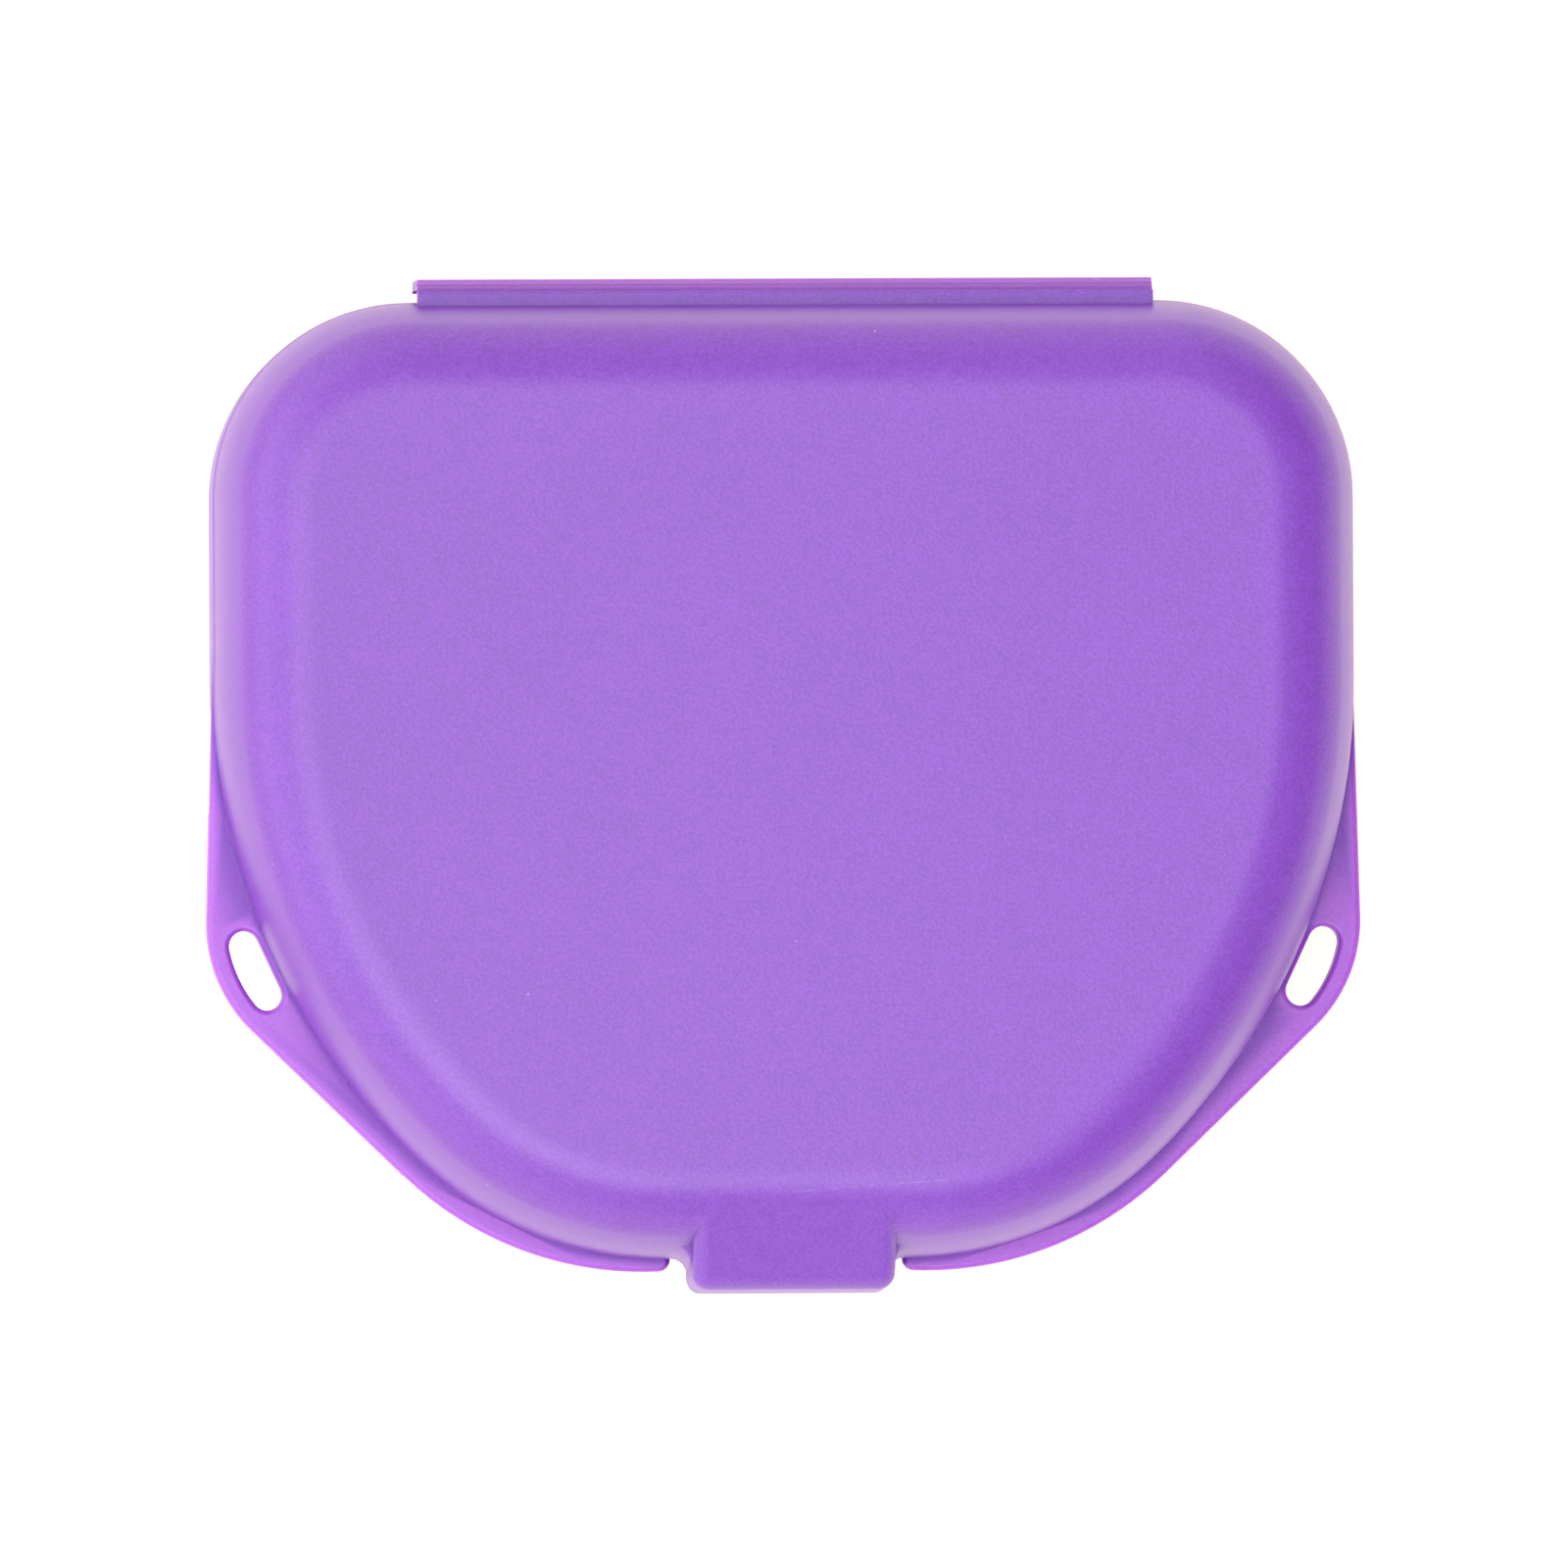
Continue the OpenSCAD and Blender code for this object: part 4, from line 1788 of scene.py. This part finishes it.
@dataclass
class Studio:
    """The tabletop, the lights and the camera.

    Attributes:
        camera_lean: Camera's offset to the left and to the front, per unit of its height.
        distance: Distance of the camera from the case, in metres.
        lens: Focal length, in millimetres on a sensor 36 mm wide.
        target: The point that the camera looks at, in metres.
        roll: Camera's roll, in degrees.
        clip: Nearest and farthest distance that the camera sees, in metres.
        tent_left: Brightness of the white tent on the left.
        tent_right: Brightness that it falls toward on the right, cut off at the least one.
        tent_dim: Least brightness of the tent.
        horizon: Brightness that the white sweep behind the table adds at the horizon.
        horizon_fall: Share of that brightness that is missing on the right.
        horizon_power: How fast that brightness falls with height.
        floor_size: Width of the tabletop, in metres.
        floor_steps: Number of its faces along each side.
        floor_z: Height of the tabletop, just below the case, in metres.
        overhead: The softbox above the case.
        fill: The soft fill on the right, too dull to show in the plastic's sheen.
        card: The white card on the left that only the sheen shows.
        strip: The strip light above the front that only the sheen shows.
    """

    camera_lean: Point2 = (-0.07, -0.01)
    distance: float = 3.0
    lens: float = 971.4
    target: tuple[float, float, float] = (0.0, 0.00016, 0.0135)
    roll: float = -0.3
    clip: Point2 = (0.05, 20.0)
    tent_left: float = 2.0
    tent_right: float = -0.05
    tent_dim: float = 0.06
    horizon: float = 1.0
    horizon_fall: float = 0.55
    horizon_power: float = 5.0
    floor_size: float = 6.0
    floor_steps: int = 8
    floor_z: float = -0.0002
    overhead: Softbox = Softbox(
        "overhead", (-0.13, -0.12, 0.55), (-0.13, -0.119, 0.0), (0.46, 0.6), 2.0
    )
    fill: Softbox = Softbox(
        "fill", (0.5, -0.1, 0.35), (0.0, 0.0, 0.015), (0.5, 0.5), 1.65, mirrored=False
    )
    card: Softbox = Softbox(
        "card", (-0.6, 0.0, 0.4), (0.0, 0.0, 0.02), (0.8, 0.8), 1.0, spreads=False
    )
    strip: Softbox = Softbox(
        "strip", (-0.1, -0.27, 0.55), (-0.1, -0.269, 0.0), (0.7, 0.2), 0.75, spreads=False
    )

    def build(self) -> None:
        """Makes the whole studio."""
        self._floor()
        for light in (self.overhead, self.fill, self.card, self.strip):
            light.hang()
        self._world()
        self._camera()
        bpy.context.scene.view_settings.view_transform = "Standard"

    def _floor(self) -> None:
        """Lays the tabletop."""
        deselect()
        bpy.ops.mesh.primitive_grid_add(
            x_subdivisions=self.floor_steps,
            y_subdivisions=self.floor_steps,
            size=self.floor_size,
            location=(0.0, 0.0, self.floor_z),
        )
        floor = bpy.context.active_object
        floor.name = "tabletop"
        bpy.ops.object.transform_apply(location=True)
        floor.data.materials.append(FloorFinish().make())
        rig.stage(floor)

    def _world(self) -> None:
        """Lights the case as a white tent does that is bright on the left and open on the right."""
        world = bpy.data.worlds.new("studio")
        bpy.context.scene.world = world
        g = Graph(world)
        toward = g.node("ShaderNodeTexCoord", None, {}, "Generated")
        x, _, z = g.split(toward)
        middle = (self.tent_left + self.tent_right) / 2
        glow = (middle - x * (self.tent_left - middle)).at_least(self.tent_dim)
        sweep = (1.0 - z.at_least(0.0)) ** self.horizon_power * self.horizon
        sweep = sweep * (1.0 - x.at_least(0.0) * self.horizon_fall)
        light = {"Color": (1.0, 1.0, 1.0), "Strength": glow + sweep}
        tent = g.node("ShaderNodeBackground", None, light)
        g.add("ShaderNodeOutputWorld", None, {"Surface": tent})

    def _camera(self) -> None:
        """Sets the camera above the case, a little to its left and front."""
        data = bpy.data.cameras.new("camera")
        data.lens = self.lens
        data.clip_start, data.clip_end = self.clip
        camera = bpy.data.objects.new("camera", data)
        bpy.context.scene.collection.objects.link(camera)
        back = Vector((*self.camera_lean, 1.0)).normalized()
        up = Vector((0.0, 1.0, 0.0))
        up = (up - up.dot(back) * back).normalized()
        turn = Matrix((up.cross(back), up, back)).transposed()
        turn = turn @ Matrix.Rotation(math.radians(self.roll), 3, "Z")
        place = Vector(self.target) + back * self.distance
        camera.matrix_world = Matrix.Translation(place) @ turn.to_4x4()
        bpy.context.scene.camera = camera


@dataclass
class RetainerCase:
    """The whole case: its pieces, their finishes and what they ride on.

    Attributes:
        flange_line: The outline that the flange and the ears are laid out from.
        wall_line: The outline of the walls of tray and lid, a little inside it.
        thin_reach: Distance outside the wall at which the tray's painted glow is full.
        case_finish: The finish of the tray and the tongue.
        strap_finish: The finish of the strap, with a painted glow toward its ends.
        lid_finish: The finish of the lid.
        web_finish: The finish of the slim webs.
    """

    flange_line: CaseOutline = CaseOutline()
    wall_line: CaseOutline = CaseOutline(
        half_w=40.5, front_y=-33.45484, rear_y=34.35484, rear_r=13.9, side_r=46.9, front_r=25.2
    )
    thin_reach: float = 0.6
    case_finish: PlasticFinish = PlasticFinish("satin_plastic")
    strap_finish: PlasticFinish = PlasticFinish(
        "satin_plastic_strap", thin=(0.345, 0.105, 0.465), root=(0.19, 0.05, 0.41)
    )
    lid_finish: PlasticFinish = PlasticFinish("satin_plastic_lid", hairline=Hairline())
    web_finish: PlasticFinish = PlasticFinish(
        "web_film", body=(0.26, 0.07, 0.44), deep=(0.22, 0.06, 0.39)
    )

    def build(self) -> None:
        """Models, dresses and mounts every piece."""
        finishes = (self.case_finish, self.lid_finish, self.strap_finish, self.web_finish)
        case, top, stiff, web = (finish.make() for finish in finishes)
        hinge, latch = Hinge(), Latch()
        tray = Tray(self.wall_line, self.flange_line).build()
        # The tray's mark: painted shade just outside the wall and painted glow farther out, on what stands out of it.
        self._mark_thin(tray, lambda p: self.wall_line.outside(p.x, p.y) / self.thin_reach)
        self._mount(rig.ride(tray, "base"), case, Slot.CASE, "base_tray")
        lid = Lid(self.wall_line).build()
        self._mount(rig.ride(lid, "lid"), top, Slot.CASE, "lid_shell")
        strap = hinge.build_strap()
        # The strap's mark: painted glow at its ends, with a band of painted shade just inward of it.
        self._mark_thin(strap, hinge.thinness)
        self._mount(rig.ride(strap, "strap"), stiff, Slot.CASE, "hinge_strap")
        lower = hinge.build_web("lower_web", upper=False)
        at_ledge, at_strap = hinge.bend_ends(upper=False)
        self._mount(
            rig.blend(lower, "base", "strap", at_ledge, at_strap), web, Slot.WEB, "base_hinge_web"
        )
        upper = hinge.build_web("upper_web", upper=True)
        at_ledge, at_strap = hinge.bend_ends(upper=True)
        self._mount(
            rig.blend(upper, "lid", "strap", at_ledge, at_strap), web, Slot.WEB, "lid_hinge_web"
        )
        tongue = latch.build()
        self._mount(
            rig.blend(tongue, "lid", "latch", *latch.bend_ends()), case, Slot.CASE, "latch_tongue"
        )

    @staticmethod
    def _mark_thin(obj: bpy.types.Object, share: Callable[[Vector], float]) -> None:
        """Marks each point of a piece for painted light, painted shade where the mark is low and painted glow where it
        is high.

        Args:
            obj: The piece.
            share: Gives the mark, full at 1 and none at 0, for a place in millimetres.
        """
        mark = obj.data.attributes.new(PAINTED_LIGHT_MARK, "FLOAT", "POINT")
        for v in obj.data.vertices:
            mark.data[v.index].value = min(1.0, max(0.0, share(v.co / MM)))

    @staticmethod
    def _mount(obj: bpy.types.Object, finish: bpy.types.Material, slot: Slot, node: str) -> None:
        """Gives a piece its finish and says which CAD node it stands for.

        Args:
            obj: The piece.
            finish: Its material.
            slot: The record's material slot.
            node: The CAD node.
        """
        obj.data.materials.clear()
        obj.data.materials.append(finish)
        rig.slot(obj, slot.value)
        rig.replaces(obj, node)
        LOG.info("%s: %d faces, stands for %s", obj.name, len(obj.data.polygons), node)


def corners(box: tuple[Vector, Vector]) -> list[list[float]]:
    """Gives a box's two corners as plain lists."""
    return [list(corner) for corner in box]


def main() -> None:
    """Builds the case and its studio, and writes down the sizes."""
    logging.basicConfig(level=logging.INFO, format="%(name)s: %(message)s")
    cad_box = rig.bounds()
    RetainerCase().build()
    Studio().build()
    with open(SIZE_FILE, "w") as file:
        json.dump({"cad": corners(cad_box), "visual": corners(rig.bounds())}, file)


if __name__ == "__main__":
    main()
